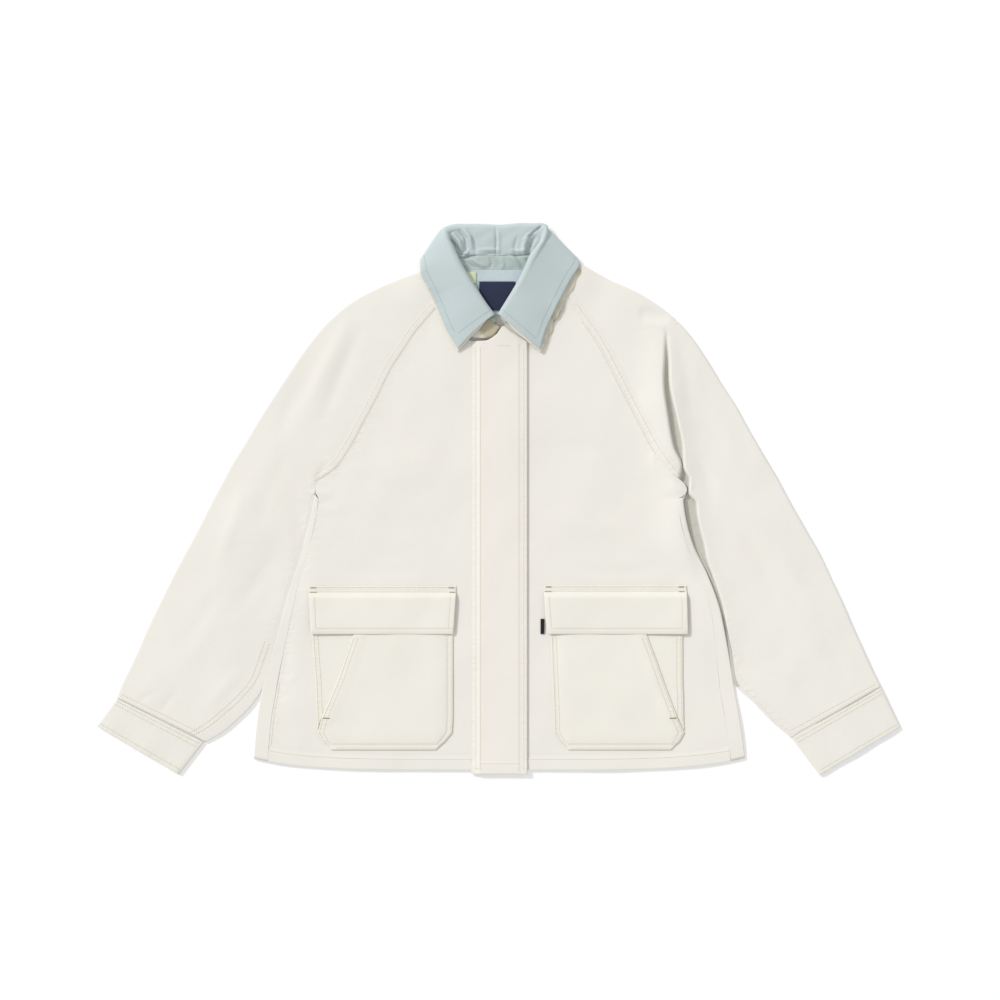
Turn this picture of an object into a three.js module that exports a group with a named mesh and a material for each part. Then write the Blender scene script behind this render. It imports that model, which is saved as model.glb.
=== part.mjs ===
import * as THREE from 'three';

// A canvas chore jacket laid flat, front up, on a level surface.
// Millimetres. +X is the viewer's right, +Y is towards the collar, +Z is up out of the surface.
// "Left" and "right" in names are the viewer's. Every cloth piece is a thin wall whose points are
// worked out from the sizes and tables below.

// Cloth walls and the clearances between pieces
const CANVAS = 1.2;
const CUFF_WALL = 1.6;
const PLACKET_WALL = 2.0;
const TRIM_WALL = 1.0;
const SEAM = 0.35;
const LAP = 0.45;

// Height of the front's outside above the surface, before folds and lifts
const BODY_TOP = 3.8;
const SLEEVE_CROWN = 1.4;
const UPPER_CROWN = 0.84;
const FOLD_FLOOR = 3.0;

// How far in from an outer fold the cloth reaches its full height
const TURN_REACH = 3;

// Hem: turned twice, so it stands a little proud, and dips towards the centre
const HEM_EXTRA = 0.6;
const HEM_DIP = 15;
const HEM_HALF = 307;
const HEM_POWER = 5;

// The placket covers the join of the two fronts
const PLACKET_LEFT = -34;
const PLACKET_RIGHT = 36;
const PLACKET_BOTTOM = -343;
const UNDERLAP_LEFT = -29;

// Neck: the hidden half of the collar lies under the back and lifts it
const NECK_LIFT = { amount: 2.4, halfWidth: 90, lowY: 274, fade: 46 };
const FACING_RISE = { amount: 0.9, halfWidth: 66, lowY: 212, fade: 30 };
const FACING = { top: 284.6, bottom: 218, halfTop: 46, halfBottom: 27, gap: 0.9 };
const LABEL = { left: -24, right: 21, top: 272, bottom: 236 };
const SIZE_TAG = { left: -41, right: -28, top: 284, bottom: 270 };

// Collar
const COLLAR_WALL = 1.2;
const ROLL_RADIUS = 5;
const LIMB_REACH = 0.45;
const LIMB_DROP = 0.6;
const UNDER_START = 0.6;
const UNDER_REVEAL = 1.4;
const UNDER_GAP = 0.95;

// Pockets and flaps: how far each layer stands off the front
const POCKET_EASE = 0.2;
const MOUTH_LIFT = 1.7;
const MOUTH_FADE = 26;
const MOUTH_END = 1.2;
const FLAP_LIFT = 4.4;

// Side folds of the body, from hem to armpit: where the back turns over to the front, how far it
// runs on to the front, how much the row follows the hem's dip, and the extra height of the hem.
const BODY_ROWS = [
  { y: -323, left: -306, right: 308, wrap: 18, dip: 1, extra: HEM_EXTRA },
  { y: -309, left: -305, right: 306.5, wrap: 18, dip: 1, extra: HEM_EXTRA },
  { y: -307.5, left: -305, right: 306.3, wrap: 18, dip: 1, extra: 0 },
  { y: -276, left: -302, right: 302, wrap: 18, dip: 0.6, extra: 0 },
  { y: -240, left: -296, right: 295.5, wrap: 18, dip: 0.25, extra: 0 },
  { y: -189, left: -283, right: 287, wrap: 15, dip: 0, extra: 0 },
  { y: -138, left: -269, right: 277, wrap: 12, dip: 0, extra: 0 },
  { y: -96, left: -257, right: 262, wrap: 9, dip: 0, extra: 0 },
  { y: -57, left: -244, right: 243, wrap: 8, dip: 0, extra: 0 },
  { y: -17, left: -234, right: 233, wrap: 7, dip: 0, extra: 0 },
  { y: 1, left: -231, right: 231, wrap: 6, dip: 0, extra: 0 },
];

// Just below the armpit the edges stand up, between the turned sections and the flat ones above
const ARMPIT_BACK = { leftX: -229.4, leftY: 10, rightX: 232.4, rightY: 6 };
const ARMPIT_STRIP = [
  { reach: 0.6, height: 3.2 },
  { reach: 0.6, height: 2.6 },
  { reach: 0.6, height: 1.9 },
  { reach: 0.75, height: 1.25 },
  { reach: 1.3, height: 0.78 },
  { reach: 2.3, height: 0.6 },
];
const ARMPIT_START = 2.2;

// Raglan seams from neck to armpit. seam is the front seam, back is how far the back seam lies
// from it, outer is the sleeve's top fold on the same section, and centreY is the height on the
// front's centre edge that the front's row runs to.
const RAGLAN_LEFT = [
  { seamX: -66, seamY: 253, backX: 12, backY: 32, outerX: -83, outerY: 290, centreY: 198 },
  { seamX: -81, seamY: 234, backX: 12, backY: 28, outerX: -118, outerY: 278, centreY: 186 },
  { seamX: -103, seamY: 208, backX: 11, backY: 20, outerX: -158, outerY: 261, centreY: 172 },
  { seamX: -119, seamY: 184, backX: 10, backY: 14, outerX: -183, outerY: 247, centreY: 158 },
  { seamX: -131, seamY: 166, backX: 8, backY: 10, outerX: -206, outerY: 229, centreY: 145 },
  { seamX: -152, seamY: 124, backX: 7, backY: 6, outerX: -239, outerY: 192, centreY: 118 },
  { seamX: -166, seamY: 98, backX: 5, backY: 4, outerX: -259, outerY: 163, centreY: 94 },
  { seamX: -182, seamY: 68, backX: 4, backY: 3, outerX: -281, outerY: 129, centreY: 66 },
  { seamX: -203, seamY: 38, backX: 3, backY: 2, outerX: -303, outerY: 94, centreY: 38 },
  { seamX: -228, seamY: 19, backX: 0, backY: 0, outerX: -322, outerY: 62, centreY: 19 },
];
const RAGLAN_RIGHT = [
  { seamX: 83, seamY: 259, backX: -26, backY: 26, outerX: 99, outerY: 297, centreY: 194 },
  { seamX: 103, seamY: 229, backX: -16, backY: 24, outerX: 138, outerY: 275, centreY: 182 },
  { seamX: 121, seamY: 204, backX: -12, backY: 18, outerX: 171, outerY: 260, centreY: 170 },
  { seamX: 139, seamY: 172, backX: -10, backY: 13, outerX: 207, outerY: 237, centreY: 154 },
  { seamX: 152, seamY: 146, backX: -8, backY: 9, outerX: 232, outerY: 214, centreY: 138 },
  { seamX: 172, seamY: 107, backX: -7, backY: 6, outerX: 262, outerY: 172, centreY: 105 },
  { seamX: 183, seamY: 86, backX: -5, backY: 4, outerX: 279, outerY: 144, centreY: 85 },
  { seamX: 196, seamY: 62, backX: -4, backY: 3, outerX: 294, outerY: 121, centreY: 61 },
  { seamX: 215, seamY: 36, backX: -3, backY: 2, outerX: 313, outerY: 87, centreY: 36 },
  { seamX: 235, seamY: 12, backX: 0, backY: 0, outerX: 332, outerY: 54, centreY: 12 },
];

// Neck edges of the fronts and of the placket
const NECK_LEFT = [[-66, 253], [-58, 227], [-46, 206], [-34, 198]];
const NECK_RIGHT = [[83, 259], [76, 232], [60, 210], [44, 200], [30, 196], [-29, 194]];
const PLACKET_TOP = [[-34, 198], [-17, 198.5], [-2, 207], [6, 217], [14, 211], [36, 197]];
const NECK_FADE = [1, 0.75, 0.5, 0.25];

// The lower sleeves, from armpit to cuff seam: the edge next to the body, the outer fold, and how
// far the underarm seam lies in from the edge next to the body. Where that is 0 the edge stands up.
const LOWER_LEFT = [
  { innerX: -229.9, innerY: 11, outerX: -326.5, outerY: 55, lap: 0 },
  { innerX: -232, innerY: 3, outerX: -331, outerY: 48, lap: 4 },
  { innerX: -235, innerY: -16, outerX: -339, outerY: 33, lap: 4 },
  { innerX: -245, innerY: -57, outerX: -359, outerY: -4, lap: 4 },
  { innerX: -258, innerY: -96, outerX: -378, outerY: -41, lap: 4 },
  { innerX: -270, innerY: -138, outerX: -398, outerY: -78, lap: 4 },
  { innerX: -284, innerY: -189, outerX: -422, outerY: -126, lap: 5 },
  { innerX: -295, innerY: -232, outerX: -441, outerY: -166, lap: 10 },
  { innerX: -308, innerY: -254, outerX: -451, outerY: -189, lap: 14 },
  { innerX: -327, innerY: -274, outerX: -462, outerY: -212, lap: 16 },
  { innerX: -349, innerY: -292, outerX: -472, outerY: -233, lap: 16 },
  { innerX: -368, innerY: -303, outerX: -477, outerY: -248, lap: 16 },
];
const LOWER_RIGHT = [
  { innerX: 233.5, innerY: 5, outerX: 335, outerY: 49, lap: 0 },
  { innerX: 232, innerY: -2, outerX: 338, outerY: 44, lap: 4 },
  { innerX: 234, innerY: -17, outerX: 346, outerY: 31, lap: 4 },
  { innerX: 241, innerY: -51, outerX: 363, outerY: -1, lap: 4 },
  { innerX: 261, innerY: -91, outerX: 383, outerY: -36, lap: 4 },
  { innerX: 274, innerY: -126, outerX: 402, outerY: -69, lap: 4 },
  { innerX: 283, innerY: -161, outerX: 416, outerY: -99, lap: 4 },
  { innerX: 289, innerY: -194, outerX: 431, outerY: -131, lap: 4 },
  { innerX: 295, innerY: -227, outerX: 443, outerY: -159, lap: 4 },
  { innerX: 319, innerY: -254, outerX: 458, outerY: -192, lap: 4 },
  { innerX: 341, innerY: -277, outerX: 468, outerY: -214, lap: 4 },
  { innerX: 366, innerY: -298, outerX: 478, outerY: -234, lap: 4 },
];

// The deep fold of the right sleeve, one row for each section from neck to cuff: the distances
// from the seam or inner edge to its two sides, and how deep it is there, from 0 to 1.
const FOLD_RIGHT = [
  { from: 22, to: 29, depth: 0 },
  { from: 40, to: 47, depth: 0 },
  { from: 58, to: 65, depth: 0 },
  { from: 76, to: 83, depth: 0.1 },
  { from: 69, to: 77, depth: 0.7 },
  { from: 44, to: 55, depth: 1 },
  { from: 34, to: 45, depth: 1 },
  { from: 25, to: 36, depth: 1 },
  { from: 10, to: 19, depth: 1 },
  { from: 4, to: 9, depth: 0.8 },
  { from: 5, to: 13, depth: 0.9 },
  { from: 6, to: 17, depth: 1 },
  { from: 6, to: 20, depth: 1 },
  { from: 6, to: 18, depth: 1 },
  { from: 6, to: 11, depth: 0.9 },
  { from: 6, to: 11, depth: 0.7 },
  { from: 6, to: 11, depth: 0.5 },
  { from: 6, to: 12, depth: 0.3 },
  { from: 6, to: 13, depth: 0.1 },
  { from: 6, to: 14, depth: 0 },
  { from: 6, to: 14, depth: 0 },
  { from: 6, to: 14, depth: 0 },
];

// Cloth heaped up beside the deep fold: its course and its height
const RIDGE = [
  { x: 196, y: 236, height: 0 },
  { x: 207, y: 208, height: 2 },
  { x: 209, y: 165, height: 4.2 },
  { x: 217, y: 108, height: 4.5 },
  { x: 226, y: 55, height: 4.5 },
  { x: 235, y: 12, height: 4 },
  { x: 238, y: -45, height: 3.8 },
  { x: 256, y: -85, height: 2 },
  { x: 272, y: -130, height: 0.8 },
  { x: 285, y: -175, height: 0 },
];
const RIDGE_WIDTH = 21;

// Broad soft folds of the chest, skirt and sleeves: centre, half length and half width, the
// direction of the length in degrees from +X, and height.
const SOFT_FOLDS = [
  { x: -246, y: -150, length: 90, width: 20, turn: 82, height: 1.3 },
  { x: -120, y: 70, length: 80, width: 34, turn: 70, height: 0.9 },
  { x: 118, y: 40, length: 90, width: 36, turn: 98, height: 0.9 },
  { x: -208, y: 170, length: 60, width: 16, turn: 60, height: 1.4 },
  { x: -330, y: -60, length: 110, width: 30, turn: 64, height: 1.2 },
  { x: -410, y: -220, length: 60, width: 26, turn: 50, height: 1 },
  { x: 345, y: -60, length: 110, width: 32, turn: 116, height: 1.2 },
  { x: 408, y: -210, length: 60, width: 26, turn: 125, height: 1 },
  { x: -150, y: -250, length: 60, width: 36, turn: 5, height: 0.6 },
  { x: 150, y: -250, length: 60, width: 36, turn: -5, height: 0.6 },
];

// Cuffs: the two ends of the seam and of the open end
const CUFF_EXTRA = 0.8;
const CUFF_CROWN = 0.9;
const CUFF_LEFT = { innerX: -368, innerY: -303, outerX: -477, outerY: -248,
  endInnerX: -399, endInnerY: -343.5, endOuterX: -502, endOuterY: -283 };
const CUFF_RIGHT = { innerX: 366, innerY: -298, outerX: 478, outerY: -234,
  endInnerX: 401, endInnerY: -344.5, endOuterX: 502, endOuterY: -284 };

// Pockets: one row for each level from the top seam down. The mouth side is cut on a slant, and
// the side piece fills the corner behind it.
const POCKET_LEFT_ROWS = [
  { y: -122, left: -165, right: -57 },
  { y: -171, left: -182, right: -57 },
  { y: -200, left: -192, right: -57 },
  { y: -226, left: -201, right: -57 },
  { y: -250, left: -211, right: -57 },
  { y: -273, left: -221, right: -57 },
  { y: -291, left: -226, right: -58 },
  { y: -302, left: -220, right: -67 },
  { y: -312.5, left: -209, right: -79 },
];
const SIDE_LEFT_ROWS = [
  { y: -118, left: -236, right: -157 },
  { y: -171, left: -233, right: -175 },
  { y: -200, left: -231, right: -186 },
  { y: -226, left: -229, right: -196 },
  { y: -250, left: -228, right: -207 },
  { y: -268, left: -227, right: -215 },
];
const POCKET_RIGHT_ROWS = [
  { y: -122, left: 65, right: 170 },
  { y: -171, left: 65, right: 186 },
  { y: -200, left: 66, right: 197 },
  { y: -226, left: 67, right: 206 },
  { y: -250, left: 68, right: 215 },
  { y: -271, left: 69, right: 223 },
  { y: -291, left: 69, right: 232 },
  { y: -302, left: 76, right: 226 },
  { y: -312.5, left: 87, right: 215 },
];
const SIDE_RIGHT_ROWS = [
  { y: -118, left: 161, right: 231 },
  { y: -171, left: 179, right: 230 },
  { y: -200, left: 190, right: 230 },
  { y: -226, left: 200, right: 230 },
  { y: -250, left: 209, right: 231 },
  { y: -267, left: 217, right: 231 },
];
const MOUTH_LEFT = { topX: -165, topY: -122, bottomX: -221, bottomY: -273 };
const MOUTH_RIGHT = { topX: 170, topY: -122, bottomX: 223, bottomY: -271 };

// Flaps: share is how far the row has risen from the seam to lie over the pocket
const FLAP_LEFT_ROWS = [
  { y: -108, left: -237, right: -53, share: 0 },
  { y: -115, left: -236.5, right: -53, share: 0.1 },
  { y: -124, left: -236, right: -53.5, share: 1 },
  { y: -146, left: -235, right: -55, share: 1 },
  { y: -168, left: -234, right: -56.5, share: 1 },
];
const FLAP_RIGHT_ROWS = [
  { y: -107, left: 57, right: 234.5, share: 0 },
  { y: -115, left: 57.5, right: 235, share: 0.1 },
  { y: -124, left: 58.5, right: 235.5, share: 1 },
  { y: -146, left: 60, right: 236, share: 1 },
  { y: -168, left: 62, right: 236.5, share: 1 },
];
const SIDE_TAB = { left: 52.5, right: 63.5, top: -149, bottom: -168 };

// Collar sections from the left front end, round the neck, to the right front end. S is the neck
// seam, R the outermost line of the roll, E the outer edge, and turn says which way the fold
// lies: 0 with the fall on top, 90 with the roll standing up, 180 with the fall underneath.
// outX and outY point from the neck opening outwards.
const COLLAR_SECTIONS = [
  { sx: 2, sy: 219, sz: 5.2, rx: -5, ry: 231, rz: 11, ex: -51, ey: 188, ez: 8.4,
    turn: 0, outX: -0.8, outY: -0.6, bulge: 0 },
  { sx: -8, sy: 206.5, sz: 5.2, rx: -14, ry: 243, rz: 12, ex: -66, ey: 214, ez: 8,
    turn: 0, outX: -0.85, outY: -0.5, bulge: 0 },
  { sx: -29, sy: 202, sz: 5.4, rx: -28, ry: 264, rz: 13.5, ex: -78, ey: 243, ez: 8.2,
    turn: 8, outX: -0.85, outY: -0.5, bulge: 0 },
  { sx: -46, sy: 221, sz: 5.8, rx: -41, ry: 284, rz: 15.5, ex: -89, ey: 266, ez: 10.2,
    turn: 22, outX: -0.85, outY: -0.4, bulge: 0 },
  { sx: -59, sy: 252, sz: 6.2, rx: -52, ry: 303, rz: 17.5, ex: -97, ey: 283, ez: 10.2,
    turn: 42, outX: -0.9, outY: -0.2, bulge: 0 },
  { sx: -73, sy: 284, sz: 6, rx: -60, ry: 318, rz: 18, ex: -98, ey: 297, ez: 5.6,
    turn: 66, outX: -1, outY: 0.2, bulge: 6 },
  { sx: -72, sy: 290, sz: 5.6, rx: -65, ry: 327, rz: 17, ex: -93, ey: 302, ez: 3,
    turn: 88, outX: -0.92, outY: 0.4, bulge: 10 },
  { sx: -69, sy: 292.5, sz: 5.2, rx: -67, ry: 335, rz: 14.5, ex: -84, ey: 302, ez: 1.4,
    turn: 110, outX: -0.8, outY: 0.6, bulge: 12 },
  { sx: -62, sy: 290.8, sz: 4.9, rx: -61, ry: 340, rz: 11.4, ex: -73, ey: 297, ez: 0.8,
    turn: 130, outX: -0.6, outY: 0.8, bulge: 8 },
  { sx: -54, sy: 287.5, sz: 4.7, rx: -50, ry: 343, rz: 8.4, ex: -62, ey: 292, ez: 0.62,
    turn: 152, outX: -0.35, outY: 0.94, bulge: 2 },
  { sx: -28, sy: 286.3, sz: 4.6, rx: -27, ry: 343.5, rz: 6, ex: -32, ey: 291, ez: 0.61,
    turn: 180, outX: 0, outY: 1, bulge: 0 },
  { sx: 0, sy: 286, sz: 4.6, rx: 0, ry: 342.5, rz: 5.61, ex: 0, ey: 290, ez: 0.61,
    turn: 180, outX: 0, outY: 1, bulge: 0 },
  { sx: 28, sy: 286.3, sz: 4.6, rx: 29, ry: 344.5, rz: 6, ex: 33, ey: 291, ez: 0.61,
    turn: 180, outX: 0, outY: 1, bulge: 0 },
  { sx: 56, sy: 287.8, sz: 4.7, rx: 53, ry: 344, rz: 8.4, ex: 66, ey: 293, ez: 0.62,
    turn: 152, outX: 0.35, outY: 0.94, bulge: 2 },
  { sx: 68, sy: 292.5, sz: 5.2, rx: 60, ry: 339.5, rz: 11.6, ex: 80, ey: 300, ez: 0.9,
    turn: 130, outX: 0.6, outY: 0.8, bulge: 10 },
  { sx: 79, sy: 295.5, sz: 5.4, rx: 59, ry: 332, rz: 15, ex: 94, ey: 305, ez: 1.8,
    turn: 110, outX: 0.8, outY: 0.6, bulge: 16 },
  { sx: 86, sy: 292.5, sz: 5.8, rx: 55.5, ry: 324, rz: 17.2, ex: 105, ey: 305.5, ez: 3.4,
    turn: 88, outX: 0.87, outY: 0.45, bulge: 14 },
  { sx: 89, sy: 287, sz: 6, rx: 50, ry: 316, rz: 19, ex: 111, ey: 300, ez: 6.4,
    turn: 66, outX: 0.94, outY: 0.3, bulge: 8 },
  { sx: 76, sy: 255, sz: 6.2, rx: 40, ry: 303, rz: 18.5, ex: 100, ey: 279, ez: 11,
    turn: 42, outX: 0.9, outY: -0.3, bulge: 0 },
  { sx: 63, sy: 227, sz: 5.8, rx: 32, ry: 287, rz: 16, ex: 87, ey: 250, ez: 11.5,
    turn: 22, outX: 0.85, outY: -0.45, bulge: 0 },
  { sx: 42, sy: 207, sz: 5.4, rx: 22, ry: 268, rz: 14, ex: 76, ey: 230, ez: 11.5,
    turn: 8, outX: 0.85, outY: -0.5, bulge: 0 },
  { sx: 28, sy: 207, sz: 5.2, rx: 11, ry: 250, rz: 12.5, ex: 63, ey: 209, ez: 11,
    turn: 0, outX: 0.8, outY: -0.6, bulge: 0 },
  { sx: 11, sy: 220, sz: 5.2, rx: -0.5, ry: 231.5, rz: 11.5, ex: 52, ey: 187, ez: 10,
    turn: 0, outX: 0.75, outY: -0.65, bulge: 0 },
];
const STAND_SHARES = [0, 0.18, 0.34];
const UPPER_SHARES = [0.45, 0.6, 0.8, 1, 1.25, 1.5, 1.75, 2, 2.25, 2.5, 2.75, 3];
const UNDER_SHARES = [0, 0.18, 0.34, 0.45, 0.6, 0.8, 1, 1.25, 1.5, 1.75, 2, 2.25, 2.5, 2.75, 3];

const MATERIALS = {
  body: { color: 0xefece6, roughness: 0.92, metalness: 0 },
  sleeve: { color: 0xece9e1, roughness: 0.92, metalness: 0 },
  pocket: { color: 0xedeae0, roughness: 0.92, metalness: 0 },
  collar: { color: 0xc4cfd0, roughness: 0.9, metalness: 0 },
  stand: { color: 0xb4c2be, roughness: 0.9, metalness: 0 },
  lining: { color: 0xbecfd0, roughness: 0.88, metalness: 0 },
  under: { color: 0xe3dfd2, roughness: 0.92, metalness: 0 },
  label: { color: 0x262e45, roughness: 0.7, metalness: 0 },
  tag: { color: 0xd6e0c9, roughness: 0.75, metalness: 0 },
  tab: { color: 0x1d1d1f, roughness: 0.7, metalness: 0 },
};

const jacket = new THREE.Group();
jacket.name = 'chore_jacket';

// Plan geometry

function lerp(a, b, s) {
  return a + (b - a) * s;
}

function smooth(value) {
  const s = Math.min(1, Math.max(0, value));
  return s * s * (3 - 2 * s);
}

function plan(x, y) {
  return new THREE.Vector2(x, y);
}

/** The point at a share of a polyline's length. */
function alongPolyline(points, share) {
  const path = new THREE.CurvePath();
  for (let i = 1; i < points.length; i += 1) {
    path.add(new THREE.LineCurve(plan(...points[i - 1]), plan(...points[i])));
  }
  return path.getPointAt(share);
}

function hemDrop(x) {
  const reach = Math.min(1.05, Math.abs(x) / HEM_HALF);
  return HEM_DIP * (reach ** HEM_POWER - 1);
}

// Heights of the cloth

/** A raised patch that is full over the neck and fades outside it. */
function neckRaise(patch, x, y) {
  const aside = Math.max(0, Math.abs(x) - patch.halfWidth);
  const below = Math.max(0, patch.lowY - y);
  return patch.amount * smooth(1 - Math.hypot(aside, below) / patch.fade);
}

function backTop(x, y) {
  return CANVAS + neckRaise(NECK_LIFT, x, y);
}

function softFolds(x, y) {
  let height = 0;
  for (const fold of SOFT_FOLDS) {
    const angle = THREE.MathUtils.degToRad(fold.turn);
    const dx = x - fold.x;
    const dy = y - fold.y;
    const along = (dx * Math.cos(angle) + dy * Math.sin(angle)) / fold.length;
    const across = (dy * Math.cos(angle) - dx * Math.sin(angle)) / fold.width;
    height += fold.height * Math.exp(-along * along - across * across);
  }
  return height;
}

function ridge(x, y) {
  let nearest = Infinity;
  let height = 0;
  for (let i = 1; i < RIDGE.length; i += 1) {
    const a = RIDGE[i - 1];
    const b = RIDGE[i];
    const dx = b.x - a.x;
    const dy = b.y - a.y;
    const share = Math.min(1, Math.max(0, ((x - a.x) * dx + (y - a.y) * dy) / (dx * dx + dy * dy)));
    const distance = Math.hypot(x - a.x - dx * share, y - a.y - dy * share);
    if (distance < nearest) {
      nearest = distance;
      height = lerp(a.height, b.height, share);
    }
  }
  return height * Math.exp(-((nearest / RIDGE_WIDTH) ** 2));
}

/** Outside height of the fronts and of the sleeves' upper layer. */
function clothTop(x, y) {
  return BODY_TOP + neckRaise(NECK_LIFT, x, y) + neckRaise(FACING_RISE, x, y)
    + softFolds(x, y) + ridge(x, y);
}

// Building walls

/** Joins two grids of points, outside and inside, into one closed wall. */
function wallGeometry(outside, inside, closed = false) {
  const rows = outside.length;
  const columns = outside[0].length;
  const positions = [];
  for (const grid of [outside, inside]) {
    for (const row of grid) {
      for (const point of row) {
        positions.push(point.x, point.y, point.z);
      }
    }
  }
  const at = (side, i, j) => side * rows * columns + i * columns + (j % columns);
  const triangles = [];
  const quad = (a, b, c, d) => {
    triangles.push(a, b, c, a, c, d);
  };
  const spans = closed ? columns : columns - 1;
  for (let i = 0; i < rows - 1; i += 1) {
    for (let j = 0; j < spans; j += 1) {
      quad(at(0, i, j), at(0, i, j + 1), at(0, i + 1, j + 1), at(0, i + 1, j));
      quad(at(1, i, j), at(1, i + 1, j), at(1, i + 1, j + 1), at(1, i, j + 1));
    }
  }
  for (let j = 0; j < spans; j += 1) {
    quad(at(0, 0, j + 1), at(0, 0, j), at(1, 0, j), at(1, 0, j + 1));
    quad(at(0, rows - 1, j), at(0, rows - 1, j + 1), at(1, rows - 1, j + 1), at(1, rows - 1, j));
  }
  if (!closed) {
    const last = columns - 1;
    for (let i = 0; i < rows - 1; i += 1) {
      quad(at(0, i, 0), at(0, i + 1, 0), at(1, i + 1, 0), at(1, i, 0));
      quad(at(0, i + 1, last), at(0, i, last), at(1, i, last), at(1, i + 1, last));
    }
  }
  const geometry = new THREE.BufferGeometry();
  geometry.setAttribute('position', new THREE.Float32BufferAttribute(positions, 3));
  geometry.setIndex(signedVolume(positions, triangles) < 0 ? triangles.reverse() : triangles);
  geometry.computeVertexNormals();
  return geometry;
}

function signedVolume(positions, triangles) {
  const a = new THREE.Vector3();
  const b = new THREE.Vector3();
  const c = new THREE.Vector3();
  let volume = 0;
  for (let k = 0; k < triangles.length; k += 3) {
    a.fromArray(positions, triangles[k] * 3);
    b.fromArray(positions, triangles[k + 1] * 3);
    c.fromArray(positions, triangles[k + 2] * 3);
    volume += a.dot(b.cross(c)) / 6;
  }
  return volume;
}

/** Unit normals of a grid of points, from the directions of its rows and columns. */
function gridNormals(grid, closed = false) {
  const rows = grid.length;
  const columns = grid[0].length;
  const step = (a, b) => new THREE.Vector3().subVectors(b, a).normalize();
  return grid.map((row, i) => row.map((point, j) => {
    const previous = closed ? row[(j - 1 + columns) % columns] : row[Math.max(0, j - 1)];
    const next = closed ? row[(j + 1) % columns] : row[Math.min(columns - 1, j + 1)];
    const across = new THREE.Vector3();
    if (previous !== point) {
      across.add(step(previous, point));
    }
    if (next !== point) {
      across.add(step(point, next));
    }
    const down = step(grid[Math.max(0, i - 1)][j], grid[Math.min(rows - 1, i + 1)][j]);
    return across.cross(down).normalize();
  }));
}

/** A grid moved along its own normals. */
function offsetGrid(grid, normals, distance) {
  return grid.map((row, i) => row.map((point, j) => (
    point.clone().addScaledVector(normals[i][j], distance)
  )));
}

/** A wall of even thickness about a grid of middle points. */
function sheetGeometry(grid, thickness, closed = false) {
  const normals = gridNormals(grid, closed);
  return wallGeometry(
    offsetGrid(grid, normals, thickness / 2), offsetGrid(grid, normals, -thickness / 2), closed,
  );
}

/** A panel lying on a height function: rows of plan points, and the wall's thickness. */
function panelGeometry(rows, top, thickness) {
  const raise = (drop) => rows.map((row, i) => row.map((point, j) => (
    new THREE.Vector3(point.x, point.y, top(point.x, point.y, i, j) - drop(i, j))
  )));
  const wall = typeof thickness === 'function' ? thickness : () => thickness;
  return wallGeometry(raise(() => 0), raise(wall));
}

function addPiece(name, geometry, finish) {
  const mesh = new THREE.Mesh(geometry, new THREE.MeshStandardMaterial(finish));
  mesh.name = name;
  jacket.add(mesh);
}

/** Middle points of a fold that turns from the lower layer, round an edge, to the upper one. */
function foldPoints(edge, inward, low, high, wall) {
  const radius = (high - low) / 2;
  const centre = edge.clone().addScaledVector(inward, radius + wall / 2);
  return [-90, -45, 0, 45, 90].map((degrees) => {
    const angle = THREE.MathUtils.degToRad(degrees);
    const reach = -radius * Math.cos(angle);
    return new THREE.Vector3(
      centre.x + inward.x * reach, centre.y + inward.y * reach,
      (low + high) / 2 + radius * Math.sin(angle),
    );
  });
}

/** Points spread evenly between two ends, without the ends, lying in the lower layer. */
function lowerRun(start, end, count) {
  const points = [];
  for (let k = 1; k <= count; k += 1) {
    const spot = plan(start.x, start.y).lerp(plan(end.x, end.y), k / (count + 1));
    points.push(new THREE.Vector3(spot.x, spot.y, backTop(spot.x, spot.y) - CANVAS / 2));
  }
  return points;
}

// Body

const BACK_RUN = 14;
const FLAT_STEPS = [0, 1.4, 2.8, 4.2, 5.8, 7.4];
const FRONT_SEAM_GAP = SEAM * 0.7;
const LEFT_SHARES = [0, 0.05, 0.12, 0.22, 0.33, 0.44, 0.55, 0.66, 0.77, 0.88, 1];
const RIGHT_SHARES = [0, 0.035, 0.07, 0.11, 0.16, 0.23, 0.33, 0.45, 0.58, 0.72, 0.86, 1];
const PLACKET_SHARES = [0, 0.24, 0.46, 0.57, 0.69, 1];
const PLACKET_LEVELS = [-322, -307, -270, -230, -190, -150, -110, -70, -30, 10, 50, 90, 125, 155, 178];

/** The side of a back section: seam point first, then the turn, down to the lower layer. */
function turnedSide(edgeX, y, side, wrap, extra) {
  const inward = plan(-side, 0);
  const edge = plan(edgeX, y);
  const low = backTop(edgeX, y) - CANVAS / 2;
  const high = clothTop(edgeX - side * TURN_REACH, y) - CANVAS / 2;
  const turn = foldPoints(edge, inward, low, high, CANVAS).reverse();
  const seamX = edgeX - side * wrap;
  const seam = new THREE.Vector3(seamX, y, clothTop(seamX, y) + extra - CANVAS / 2);
  turn[0].z += extra;
  return [seam, ...turn];
}

/** The side of a back section above the armpit, which lies flat in the lower layer. */
function flatSide(x, y, side) {
  return FLAT_STEPS.map((step) => {
    const px = x - side * step;
    return new THREE.Vector3(px, y, backTop(px, y) - CANVAS / 2);
  });
}

/** The edge strip standing up from the lower layer, from its free edge down. */
function uprightSide(edge, inward) {
  return ARMPIT_STRIP.map(({ reach, height }) => (
    new THREE.Vector3(edge.x + inward.x * reach, edge.y + inward.y * reach, height)
  ));
}

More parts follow.
